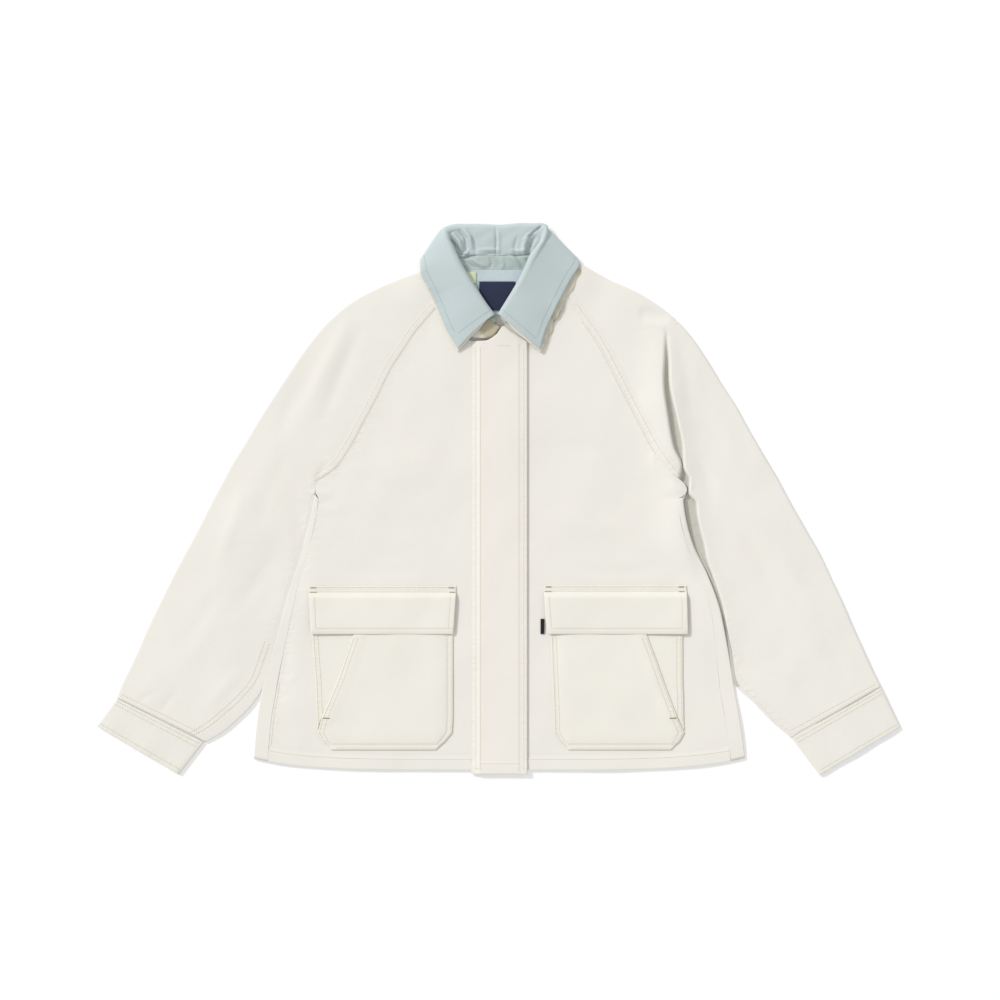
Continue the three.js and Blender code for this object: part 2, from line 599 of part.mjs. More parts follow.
function backGrid() {
  const grid = BODY_ROWS.map((row) => {
    const left = turnedSide(row.left, row.y, -1, row.wrap, row.extra);
    const right = turnedSide(row.right, row.y, 1, row.wrap, row.extra).reverse();
    const points = [...left, ...lowerRun(left[5], right[0], BACK_RUN), ...right];
    for (const point of points) {
      point.y += row.dip * hemDrop(point.x) - row.dip * hemDrop(HEM_HALF);
    }
    return points;
  });
  const standing = [
    uprightSide(plan(ARMPIT_BACK.leftX, ARMPIT_BACK.leftY), plan(1, 0)),
    uprightSide(plan(ARMPIT_BACK.rightX, ARMPIT_BACK.rightY), plan(-1, 0)).reverse(),
  ];
  grid.push([...standing[0], ...lowerRun(standing[0][5], standing[1][0], BACK_RUN), ...standing[1]]);
  for (let i = RAGLAN_LEFT.length - 1; i >= 0; i -= 1) {
    const l = RAGLAN_LEFT[i];
    const r = RAGLAN_RIGHT[i];
    const left = flatSide(l.seamX + l.backX + SEAM, l.seamY + l.backY, -1);
    const right = flatSide(r.seamX + r.backX - SEAM, r.seamY + r.backY, 1).reverse();
    grid.push([...left, ...lowerRun(left[5], right[0], BACK_RUN), ...right]);
  }
  return grid;
}

/** Plan rows of a front, from hem to neck, between its side seam or raglan and its centre. */
function frontRows(side, raglan, neckEdge, centreX, shares) {
  const rows = BODY_ROWS.map((row) => {
    const edge = side < 0 ? row.left : row.right;
    const seamX = edge - side * (row.wrap + SEAM);
    return shares.map((share) => {
      const x = lerp(seamX, centreX, share);
      return plan(x, row.y + row.dip * (hemDrop(x) - hemDrop(HEM_HALF)));
    });
  });
  const ends = raglan.map((r) => [
    plan(r.seamX - side * FRONT_SEAM_GAP, r.seamY), plan(centreX, r.centreY),
  ]);
  const neckStart = plan(...neckEdge[0]);
  const neckEnd = plan(...neckEdge[neckEdge.length - 1]);
  const bend = shares.map((share) => (
    alongPolyline(neckEdge, share).sub(neckStart.clone().lerp(neckEnd, share))
  ));
  for (let i = raglan.length - 1; i >= 0; i -= 1) {
    const fade = NECK_FADE[i] ?? 0;
    rows.push(shares.map((share, j) => (
      ends[i][0].clone().lerp(ends[i][1], share).addScaledVector(bend[j], fade)
    )));
  }
  return rows;
}

function rowExtra(i) {
  return BODY_ROWS[i] ? BODY_ROWS[i].extra : 0;
}

function addBody() {
  addPiece('back', sheetGeometry(backGrid(), CANVAS), MATERIALS.body);
  const left = frontRows(-1, RAGLAN_LEFT, NECK_LEFT, PLACKET_LEFT - SEAM, LEFT_SHARES);
  const right = frontRows(1, RAGLAN_RIGHT, NECK_RIGHT, UNDERLAP_LEFT, RIGHT_SHARES);
  const top = (x, y, i) => clothTop(x, y) + rowExtra(i);
  const wall = (i) => CANVAS + rowExtra(i);
  addPiece('front_left', panelGeometry(left, top, wall), MATERIALS.body);
  addPiece('front_right', panelGeometry(right, top, wall), MATERIALS.body);
}

/** The placket strip, over the edge of the right front. */
function addPlacket() {
  const rows = [PLACKET_BOTTOM, ...PLACKET_LEVELS].map((y) => (
    PLACKET_SHARES.map((share) => plan(lerp(PLACKET_LEFT, PLACKET_RIGHT, share), y))
  ));
  rows.push(PLACKET_TOP.map(([x, y]) => plan(x, y)));
  const top = (x, y) => clothTop(x, y) + HEM_EXTRA + LAP + PLACKET_WALL;
  addPiece('placket', panelGeometry(rows, top, PLACKET_WALL), MATERIALS.body);
}

// Sleeves

const LOWER_RUN = 5;
const OUTER_REACH = 4;
const SLEEVE_SEAM_GAP = SEAM * 0.6;
const UPPER_SEAM_STEP = SEAM * 0.3;
const BACK_SEAM_GAP = SEAM * 0.5;
const PLAIN_FOLD = { from: 0.24, to: 0.44 };
const CUFF_LEVELS = [0.35, 0.7, 1];
const CUFF_STEPS = [0.17, 0.33, 0.5, 0.67, 0.83];

/** Distances from the seam at which a sleeve section's upper layer has its points. */
function upperDistances(start, width, fold) {
  const middle = (fold.from + fold.to) / 2;
  const beyond = [0.3, 0.55, 0.8].map((share) => lerp(fold.to, width, share));
  return [start, lerp(start, fold.from, 0.5), fold.from, middle, fold.to, ...beyond];
}

/** One section of a sleeve: seam edge, upper layer, outer fold, lower layer, inner edge. */
function sleeveSection(inner, outer, backEnd, lap, fold) {
  const along = outer.clone().sub(inner);
  const width = along.length();
  along.normalize();
  const start = backEnd ? UPPER_SEAM_STEP : Math.max(lap + SEAM, ARMPIT_START);
  const rise = backEnd ? UPPER_CROWN : SLEEVE_CROWN;
  const outerTurn = foldTurn(outer, along.clone().negate());
  const distances = upperDistances(start, width - OUTER_REACH, fold);
  const points = distances.map((distance, k) => {
    const spot = inner.clone().addScaledVector(along, distance);
    const full = clothTop(spot.x, spot.y) + rise * Math.sin((Math.PI * distance) / width);
    const low = backEnd ? k === 3 : k < 4;
    const height = low ? lerp(full, FOLD_FLOOR, fold.depth) : full;
    return new THREE.Vector3(spot.x, spot.y, height - CANVAS / 2);
  });
  points.push(...outerTurn);
  if (!backEnd && lap === 0) {
    const strip = uprightSide(inner, along).reverse();
    points.push(...lowerRun(outerTurn[4], strip[0], LOWER_RUN), ...strip);
    return points;
  }
  if (lap > 0) {
    const innerLow = lerp(clothTop(inner.x, inner.y), FOLD_FLOOR, fold.depth) - CANVAS / 2;
    const turn = foldPoints(inner, along, CANVAS / 2, innerLow, CANVAS);
    const end = inner.clone().addScaledVector(along, lap);
    const last = new THREE.Vector3(end.x, end.y, points[0].z);
    points.push(...lowerRun(outerTurn[4], turn[0], LOWER_RUN), ...turn, last);
    return points;
  }
  const back = backEnd.clone().sub(plan(outerTurn[4].x, outerTurn[4].y)).normalize();
  const flat = [...FLAT_STEPS].reverse().map((step) => {
    const spot = backEnd.clone().addScaledVector(back, -step - BACK_SEAM_GAP);
    return new THREE.Vector3(spot.x, spot.y, backTop(spot.x, spot.y) - CANVAS / 2);
  });
  points.push(...lowerRun(outerTurn[4], flat[0], LOWER_RUN), ...flat);
  return points;
}

function foldTurn(edge, inward) {
  const spot = edge.clone().addScaledVector(inward, TURN_REACH);
  const low = backTop(spot.x, spot.y) - CANVAS / 2;
  const high = clothTop(spot.x, spot.y) - CANVAS / 2;
  return foldPoints(edge, inward, low, high, CANVAS).reverse();
}

function sleeveGrid(side, raglan, lower, folds) {
  const upper = raglan.map((r, i) => sleeveSection(
    plan(r.seamX + side * SLEEVE_SEAM_GAP, r.seamY), plan(r.outerX, r.outerY),
    plan(r.seamX + r.backX, r.seamY + r.backY), 0, folds[i],
  ));
  return upper.concat(lower.map((row, i) => sleeveSection(
    plan(row.innerX + side * SEAM, row.innerY), plan(row.outerX, row.outerY),
    null, row.lap, folds[raglan.length + i],
  )));
}

/** Sections of the left sleeve, which has no deep fold, take evenly spread points. */
function plainFolds(raglan, lower) {
  const rows = raglan.map((r) => Math.hypot(r.outerX - r.seamX, r.outerY - r.seamY))
    .concat(lower.map((r) => Math.hypot(r.outerX - r.innerX, r.outerY - r.innerY)));
  return rows.map((width) => (
    { from: width * PLAIN_FOLD.from, to: width * PLAIN_FOLD.to, depth: 0 }
  ));
}

function addSleeves() {
  const left = sleeveGrid(-1, RAGLAN_LEFT, LOWER_LEFT, plainFolds(RAGLAN_LEFT, LOWER_LEFT));
  const right = sleeveGrid(1, RAGLAN_RIGHT, LOWER_RIGHT, FOLD_RIGHT);
  addPiece('sleeve_left', sheetGeometry(left, CANVAS), MATERIALS.sleeve);
  addPiece('sleeve_right', sheetGeometry(right, CANVAS), MATERIALS.sleeve);
}

/** A cuff: a flattened tube from the sleeve's end to the open edge. */
function cuffGrid(cuff) {
  const seamGap = SEAM / Math.hypot(cuff.endOuterX - cuff.outerX, cuff.endOuterY - cuff.outerY);
  return [seamGap, ...CUFF_LEVELS].map((share) => {
    const inner = plan(cuff.innerX, cuff.innerY).lerp(plan(cuff.endInnerX, cuff.endInnerY), share);
    const outer = plan(cuff.outerX, cuff.outerY).lerp(plan(cuff.endOuterX, cuff.endOuterY), share);
    const along = outer.clone().sub(inner).normalize();
    const low = CUFF_WALL / 2;
    const high = BODY_TOP + CUFF_EXTRA - CUFF_WALL / 2;
    const points = foldPoints(inner, along, low, high, CUFF_WALL);
    const far = foldPoints(outer, along.clone().negate(), low, high, CUFF_WALL).reverse();
    const start = points[4].clone();
    for (const step of CUFF_STEPS) {
      const spot = new THREE.Vector3().lerpVectors(start, far[0], step);
      spot.z += CUFF_CROWN * Math.sin(Math.PI * step);
      points.push(spot);
    }
    points.push(...far);
    for (const step of CUFF_STEPS) {
      points.push(new THREE.Vector3().lerpVectors(far[4], points[0], step));
    }
    return points;
  });
}

function addCuffs() {
  addPiece('cuff_left', sheetGeometry(cuffGrid(CUFF_LEFT), CUFF_WALL, true), MATERIALS.sleeve);
  addPiece('cuff_right', sheetGeometry(cuffGrid(CUFF_RIGHT), CUFF_WALL, true), MATERIALS.sleeve);
}

// Pockets

const POCKET_SHARES = [0, 0.12, 0.25, 0.4, 0.55, 0.7, 0.85, 1];
const CORNER_SHARES = [0, 0.33, 0.66, 1];

function levelRows(rows, columns) {
  return rows.map((row) => columns.map((share) => plan(lerp(row.left, row.right, share), row.y)));
}

/** How far the pocket's mouth edge stands off, by the distance from its slanted edge. */
function mouthLift(mouth, side, x, y) {
  const share = (y - mouth.topY) / (mouth.bottomY - mouth.topY);
  const edge = lerp(mouth.topX, mouth.bottomX, Math.min(1, Math.max(0, share)));
  const inside = side < 0 ? x - edge : edge - x;
  const below = Math.max(0, mouth.bottomY - y) * MOUTH_END;
  return MOUTH_LIFT * smooth(1 - (Math.max(0, inside) + below) / MOUTH_FADE);
}

function addPocket(pocket) {
  const { name, side, mouth, flap } = pocket;
  const shares = side < 0 ? POCKET_SHARES : POCKET_SHARES.map((share) => 1 - share).reverse();
  const base = (x, y) => clothTop(x, y) + LAP + CANVAS;
  const pocketTop = (x, y) => base(x, y) + POCKET_EASE + mouthLift(mouth, side, x, y);
  const flapTop = (x, y, i) => base(x, y) + flap[i].share * (FLAP_LIFT - LAP);
  const pieces = [
    { piece: `pocket_${name}_side`, rows: levelRows(pocket.corner, CORNER_SHARES), top: base },
    { piece: `pocket_${name}`, rows: levelRows(pocket.rows, shares), top: pocketTop },
    { piece: `flap_${name}`, rows: levelRows(flap, POCKET_SHARES), top: flapTop },
  ];
  for (const { piece, rows, top } of pieces) {
    addPiece(piece, panelGeometry(rows, top, CANVAS), MATERIALS.pocket);
  }
}

/** A small flat strip whose levels run down from its top. */
function stripRows(place, levels) {
  return levelRows(levels.map((level) => (
    { y: lerp(place.top, place.bottom, level), left: place.left, right: place.right }
  )), [0, 0.5, 1]);
}

function addPockets() {
  addPocket({
    name: 'left', side: -1, rows: POCKET_LEFT_ROWS, corner: SIDE_LEFT_ROWS,
    mouth: MOUTH_LEFT, flap: FLAP_LEFT_ROWS,
  });
  addPocket({
    name: 'right', side: 1, rows: POCKET_RIGHT_ROWS, corner: SIDE_RIGHT_ROWS,
    mouth: MOUTH_RIGHT, flap: FLAP_RIGHT_ROWS,
  });
  const tabTop = (x, y) => clothTop(x, y) + LAP + TRIM_WALL;
  const tabRows = stripRows(SIDE_TAB, [0, 1]);
  addPiece('side_tab', panelGeometry(tabRows, tabTop, TRIM_WALL), MATERIALS.tab);
}

// Collar

/**
 * Middle point of a collar section. The share runs from 0 to 1 up the stand, to 2 round the roll
 * and to 3 down the fall.
 */
function collarPoint(section, share) {
  const turn = THREE.MathUtils.degToRad(section.turn);
  const out = new THREE.Vector3(section.outX, section.outY, 0).normalize();
  const up = new THREE.Vector3(0, 0, 1);
  const ahead = out.clone().multiplyScalar(-Math.cos(turn)).addScaledVector(up, Math.sin(turn));
  const across = out.clone().multiplyScalar(Math.sin(turn)).addScaledVector(up, Math.cos(turn));
  const centre = new THREE.Vector3(section.rx, section.ry, section.rz).addScaledVector(ahead, -ROLL_RADIUS);
  const limb = (sideways, end, bulge) => {
    const top = centre.clone().addScaledVector(across, sideways * ROLL_RADIUS);
    const reach = LIMB_REACH * top.distanceTo(end);
    const drop = Math.min(reach * Math.sin(turn), LIMB_DROP * Math.max(0, top.z - end.z));
    const bend = top.clone().addScaledVector(out, reach * Math.cos(turn) + bulge);
    return new THREE.QuadraticBezierCurve3(end, bend.addScaledVector(up, -drop), top);
  };
  if (share <= 1) {
    const seam = new THREE.Vector3(section.sx, section.sy, section.sz);
    return limb(-1, seam, 0).getPoint(share);
  }
  if (share >= 2) {
    const edge = new THREE.Vector3(section.ex, section.ey, section.ez);
    return limb(1, edge, section.bulge).getPoint(3 - share);
  }
  const angle = Math.PI * (share - 1);
  return centre.addScaledVector(across, -ROLL_RADIUS * Math.cos(angle))
    .addScaledVector(ahead, ROLL_RADIUS * Math.sin(angle));
}

function collarGrid(shares) {
  return COLLAR_SECTIONS.map((section) => shares.map((share) => collarPoint(section, share)));
}

/** The under-collar starts further up the stand where the fall lies underneath it. */
function underGrid() {
  return COLLAR_SECTIONS.map((section) => {
    const start = UNDER_START * smooth((section.turn - 30) / 80);
    return UNDER_SHARES.map((share) => collarPoint(section, share < 1 ? lerp(start, 1, share) : share));
  });
}

function addCollar() {
  addPiece('collar', sheetGeometry(collarGrid(UPPER_SHARES), COLLAR_WALL), MATERIALS.collar);
  addPiece('collar_stand', sheetGeometry(collarGrid(STAND_SHARES), COLLAR_WALL), MATERIALS.stand);
  const middle = underGrid();
  const inner = offsetGrid(middle, gridNormals(middle), COLLAR_WALL + UNDER_GAP);
  for (const row of inner) {
    const last = row.length - 1;
    const outward = row[last].clone().sub(row[last - 1]).normalize();
    row[last].addScaledVector(outward, UNDER_REVEAL);
  }
  addPiece('under_collar', sheetGeometry(inner, COLLAR_WALL), MATERIALS.under);
}

const FACING_LEVELS = [0, 0.15, 0.3, 0.45, 0.6, 0.8, 1];
const FACING_SHARES = [0, 0.2, 0.4, 0.6, 0.8, 1];
const LABEL_LEVELS = [0, 0.25, 0.5, 0.75, 1];

/** The neck facing on the inside of the back, with its woven label and size tag. */
function addNeckTrim() {
  const facingTop = (x, y) => backTop(x, y) + FACING.gap + TRIM_WALL;
  const facingRows = levelRows(FACING_LEVELS.map((level) => {
    const half = lerp(FACING.halfTop, FACING.halfBottom, level);
    return { y: lerp(FACING.top, FACING.bottom, level), left: -half, right: half };
  }), FACING_SHARES);
  addPiece('neck_facing', panelGeometry(facingRows, facingTop, TRIM_WALL), MATERIALS.lining);
  const trims = [
    { name: 'neck_label', place: LABEL, finish: MATERIALS.label },
    { name: 'size_tag', place: SIZE_TAG, finish: MATERIALS.tag },
  ];
  const top = (x, y) => facingTop(x, y) + LAP + TRIM_WALL;
  for (const { name, place, finish } of trims) {
    addPiece(name, panelGeometry(stripRows(place, LABEL_LEVELS), top, TRIM_WALL), finish);
  }
}

addBody();
addPlacket();
addSleeves();
addCuffs();
addPockets();
addCollar();
addNeckTrim();

export default jacket;
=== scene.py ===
"""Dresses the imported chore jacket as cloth: shells, folds, seams, stitching, materials, studio.

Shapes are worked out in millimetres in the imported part's frame and go to Blender in metres.
"Left" and "right" are the viewer's.
"""

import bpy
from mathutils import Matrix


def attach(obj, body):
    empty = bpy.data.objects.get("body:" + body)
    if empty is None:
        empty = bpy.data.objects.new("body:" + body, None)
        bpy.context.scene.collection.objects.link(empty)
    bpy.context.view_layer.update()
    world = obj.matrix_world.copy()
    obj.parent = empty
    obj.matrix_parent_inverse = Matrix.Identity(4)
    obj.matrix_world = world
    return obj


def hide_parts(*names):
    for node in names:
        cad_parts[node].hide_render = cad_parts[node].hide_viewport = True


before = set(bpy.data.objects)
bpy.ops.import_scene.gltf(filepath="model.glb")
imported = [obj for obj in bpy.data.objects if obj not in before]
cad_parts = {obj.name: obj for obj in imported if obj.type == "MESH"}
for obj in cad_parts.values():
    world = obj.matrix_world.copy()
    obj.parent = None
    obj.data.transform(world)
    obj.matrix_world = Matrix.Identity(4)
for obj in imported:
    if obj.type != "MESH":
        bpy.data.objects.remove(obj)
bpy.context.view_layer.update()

import logging
import math
from dataclasses import dataclass, replace
from enum import Enum

import bpy
import numpy as np
from mathutils import Vector

log = logging.getLogger("jacket")

MM = 0.001

# Cloth walls and the clearances between pieces
CANVAS = 1.2
TRIM_WALL = 1.0
SEAM = 0.35
HAIR = 0.06
LAP = 0.45

# Outer height of the fronts, and how the folded edges turn
BODY_TOP = 3.8
TURN_REACH = 3.0
SQUARENESS = 0.35

# How the hem hangs between the side folds
HEM_DIP = 15.0
HEM_HALF = 307.0
HEM_POWER = 5

# Distance that stands for no sewn edge near by
FAR_OFF = 60.0

# How finely the cloth is meshed
STEP = 3.0
FINE_STEP = 1.5
FINE_REACH = 12.0
RIM = (0.0, 0.1, 0.35)


class Side(Enum):
    """The viewer's left or right, as a sign along X."""

    LEFT = -1
    RIGHT = 1


def smooth(value: np.ndarray) -> np.ndarray:
    """Eased step from 0 to 1.

    Args:
        value: Shares, clipped to 0 to 1.

    Returns:
        The eased shares.
    """
    share = np.clip(value, 0.0, 1.0)
    return share * share * (3 - 2 * share)


def bell(value: np.ndarray, middle: float, width: float) -> np.ndarray:
    """Bell curve, 1 at its middle and 1/e one width away from it.

    Args:
        value: Places.
        middle: Where the curve is highest.
        width: Its width, in one size or for each place.

    Returns:
        The curve at each place.
    """
    return np.exp(-(((value - middle) / width) ** 2))


def closest(values: np.ndarray, wanted: float) -> int:
    """Index of the value closest to the wanted one."""
    return int(np.argmin(np.abs(values - wanted)))


def through(knots: np.ndarray, values: np.ndarray, places: np.ndarray) -> np.ndarray:
    """Smooth values between table rows, with no overshoot.

    Args:
        knots: Increasing places of the rows.
        values: One row of values for each knot.
        places: Where values are wanted.

    Returns:
        One row of values for each place.
    """
    steps = np.diff(knots)
    slopes = np.diff(values, axis=0) / steps[:, None]
    before, after = slopes[:-1], slopes[1:]
    heavy = (2 * steps[1:] + steps[:-1])[:, None]
    light = (steps[1:] + 2 * steps[:-1])[:, None]
    agree = before * after > 0
    safe_before = np.where(agree, before, 1.0)
    safe_after = np.where(agree, after, 1.0)
    mean = (heavy + light) / (heavy / safe_before + light / safe_after)
    tangents = np.vstack([slopes[:1], np.where(agree, mean, 0.0), slopes[-1:]])
    cell = np.clip(np.searchsorted(knots, places, side="right") - 1, 0, len(steps) - 1)
    width = steps[cell][:, None]
    s = (places - knots[cell])[:, None] / width
    return (
        (1 + 2 * s) * (1 - s) ** 2 * values[cell]
        + s * (1 - s) ** 2 * width * tangents[cell]
        + s * s * (3 - 2 * s) * values[cell + 1]
        + s * s * (s - 1) * width * tangents[cell + 1]
    )


class Table:
    """Rows of named sizes, read smoothly at any place along them."""

    def __init__(self, columns: str, rows: list[tuple[float, ...]], along: str,
                 straight: bool = False) -> None:
        """Stores the rows.

        Args:
            columns: Column names, parted by spaces.
            rows: One tuple of numbers for each row.
            along: The columns whose change from row to row is the length.
            straight: Whether the values run straight from row to row.
        """
        self.straight = straight
        self.columns = columns.split()
        self.values = np.array(rows, float)
        picked = self.values[:, [self.columns.index(name) for name in along.split()]]
        pairs = picked.reshape(len(rows), -1, 2) if picked.shape[1] > 1 else picked[:, None, :]
        steps = np.linalg.norm(np.diff(pairs, axis=0), axis=2).mean(axis=1)
        self.knots = np.concatenate([[0.0], np.cumsum(steps)])
        self.length = float(self.knots[-1])

    def at(self, places: np.ndarray) -> dict[str, np.ndarray]:
        """Reads every column.

        Args:
            places: Lengths along the table.

        Returns:
            Column name to values, one for each place.
        """
        places = np.asarray(places, float)
        if self.straight:
            found = np.stack([np.interp(places, self.knots, column) for column in self.values.T], 1)
        else:
            found = through(self.knots, self.values, places)
        return {name: found[:, k] for k, name in enumerate(self.columns)}


BODY_COLUMNS = "y left right wrap dip"
BODY_ROWS = [
    (-323, -306, 308, 18, 1),
    (-307.5, -305, 306.4, 18, 1),
    (-276, -302, 302, 18, 0.6),
    (-240, -296, 295.5, 18, 0.25),
    (-189, -283, 287, 15, 0),
    (-138, -269, 277, 12, 0),
    (-96, -257, 262, 9, 0),
    (-57, -244, 243, 8, 0),
    (-17, -234, 233, 7, 0),
    (1, -231, 231, 6, 0),
]
# Raglan seam x and y, offset of the back's edge from it, outer fold x and y, y at the front's centre
RAGLAN_ROWS = {
    Side.LEFT: [
        (-66, 253, 12, 32, -83, 290, 198),
        (-81, 234, 12, 28, -118, 278, 186),
        (-103, 208, 11, 20, -158, 261, 172),
        (-119, 184, 10, 14, -183, 247, 158),
        (-131, 166, 8, 10, -206, 229, 145),
        (-152, 124, 7, 6, -239, 192, 118),
        (-166, 98, 5, 4, -259, 163, 94),
        (-182, 68, 4, 3, -281, 129, 66),
        (-203, 38, 3, 2, -303, 94, 38),
        (-228, 19, 0, 0, -322, 62, 19),
    ],
    Side.RIGHT: [
        (83, 259, -26, 26, 99, 297, 194),
        (103, 229, -16, 24, 138, 275, 182),
        (121, 204, -12, 18, 171, 260, 170),
        (139, 172, -10, 13, 207, 237, 154),
        (152, 146, -8, 9, 232, 214, 138),
        (172, 107, -7, 6, 262, 172, 105),
        (183, 86, -5, 4, 279, 144, 85),
        (196, 62, -4, 3, 294, 121, 61),
        (215, 36, -3, 2, 313, 87, 36),
        (235, 12, 0, 0, 332, 54, 12),
    ],
}
NECK_EDGE = {
    Side.LEFT: [(-66, 253), (-58, 227), (-46, 206), (-34, 198)],
    Side.RIGHT: [(83, 259), (76, 232), (60, 210), (44, 200), (30, 196), (-21, 194)],
}
NECK_FADE = (1.0, 0.75, 0.5, 0.25)
PLACKET_TOP = [(-34, 198), (-17, 198.5), (-2, 207), (6, 217), (14, 211), (36, 197)]
# Sleeve below the armpit: inner edge x and y, outer fold x and y, lap at the inner edge
LOWER_ROWS = {
    Side.LEFT: [
        (-229.9, 11, -326.5, 55, 0),
        (-232, 3, -331, 48, 4),
        (-235, -16, -339, 33, 4),
        (-245, -57, -359, -4, 4),
        (-258, -96, -378, -41, 4),
        (-270, -138, -398, -78, 4),
        (-284, -189, -422, -126, 5),
        (-295, -232, -441, -166, 10),
        (-308, -254, -451, -189, 14),
        (-327, -274, -462, -212, 16),
        (-349, -292, -472, -233, 16),
        (-368, -303, -477, -248, 16),
    ],
    Side.RIGHT: [
        (233.5, 5, 335, 49, 0),
        (231.3, -2, 338, 44, 4),
        (233.1, -17, 346, 31, 4),
        (241.5, -51, 363, -1, 4),
        (259.9, -91, 383, -36, 4),
        (273.3, -126, 402, -69, 4),
        (282, -161, 416, -99, 4),
        (288, -194, 431, -131, 4),
        (293.5, -227, 443, -159, 4),
        (319, -254, 458, -192, 4),
        (341, -277, 468, -214, 4),
        (366, -298, 478, -234, 4),
    ],
}
# Deep fold beside the right armpit: y, x of its left and right edge, depth as a share
CHANNEL_ROWS = [
    (-262, 303, 303, 0),
    (-227, 290, 294.6, 0.8),
    (-189, 281, 290, 1),
    (-151, 273, 283.6, 1),
    (-132, 270, 279.8, 1),
    (-113, 264, 273.8, 1),
    (-94, 256, 267.4, 1),
    (-76, 248, 261, 1),
    (-57, 240, 257.2, 1),
    (-38, 234, 252.4, 1),
    (-19, 230, 248.6, 1),
    (-4, 228, 247, 1),
    (9, 226, 237.4, 1),
    (24, 225.6, 238.2, 1),
    (41, 228.1, 231.2, 1),
    (66, 218.1, 230, 1),
    (99, 211.9, 223.4, 1),
    (150, 205.8, 213.6, 1),
    (176, 206.8, 213.2, 0.85),
    (200, 207.6, 211.4, 0.5),
    (214, 208.4, 211, 0),
]
ARMPIT_BACK = {Side.LEFT: (-229.4, 10), Side.RIGHT: (232.4, 6)}
ARMPIT_STRIP = [(0.6, 3.2), (0.6, 2.6), (0.6, 1.9), (0.75, 1.25), (1.3, 0.78), (2.3, 0.6)]
FLAT_STEPS = (0, 1.4, 2.8, 4.2, 5.8, 7.4)
CUFF_ENDS = {
    Side.LEFT: ((-368, -303), (-477, -248), (-399, -343.5), (-502, -283)),
    Side.RIGHT: ((366, -298), (478, -234), (401, -344.5), (502, -284)),
}
POCKET_COLUMNS = "y left right"
POCKET_ROWS = {
    Side.LEFT: [
        (-122, -165, -57), (-171, -182, -57), (-200, -192, -57), (-226, -201, -57),
        (-250, -211, -57), (-273, -221, -57), (-291, -226, -58), (-302, -220, -67),
        (-312.5, -209, -79),
    ],
    Side.RIGHT: [
        (-122, 65, 170), (-171, 65, 186), (-200, 66, 197), (-226, 67, 206),
        (-250, 68, 215), (-271, 69, 223), (-291, 69, 232), (-302, 76, 226),
        (-312.5, 87, 215),
    ],
}
CORNER_ROWS = {
    Side.LEFT: [
        (-118, -236, -157), (-171, -233, -175), (-200, -231, -186), (-226, -229, -196),
        (-250, -228, -207), (-264, -227.2, -214), (-274, -226.9, -221.6), (-280, -226.6, -223.6),
        (-287, -226.3, -225.5),
    ],
    Side.RIGHT: [
        (-118, 161, 231), (-171, 179, 230), (-200, 190, 230), (-226, 200, 230),
        (-250, 209, 231), (-262, 215, 231), (-272, 223.7, 231.2), (-280, 227.4, 231.5),
        (-287, 230.6, 231.8),
    ],
}
MOUTH = {
    Side.LEFT: ((-165, -122), (-221, -273)),
    Side.RIGHT: ((170, -122), (223, -271)),
}
FLAP_ROWS = {
    Side.LEFT: [
        (-108, -237, -53), (-115, -236.5, -53), (-124, -236, -53.5), (-146, -235, -55),
        (-168, -234, -56.5),
    ],
    Side.RIGHT: [
        (-107, 57, 234.5), (-115, 57, 235), (-124, 57.3, 235.5), (-146, 58.6, 236),
        (-168, 61, 236.5),
    ],
}
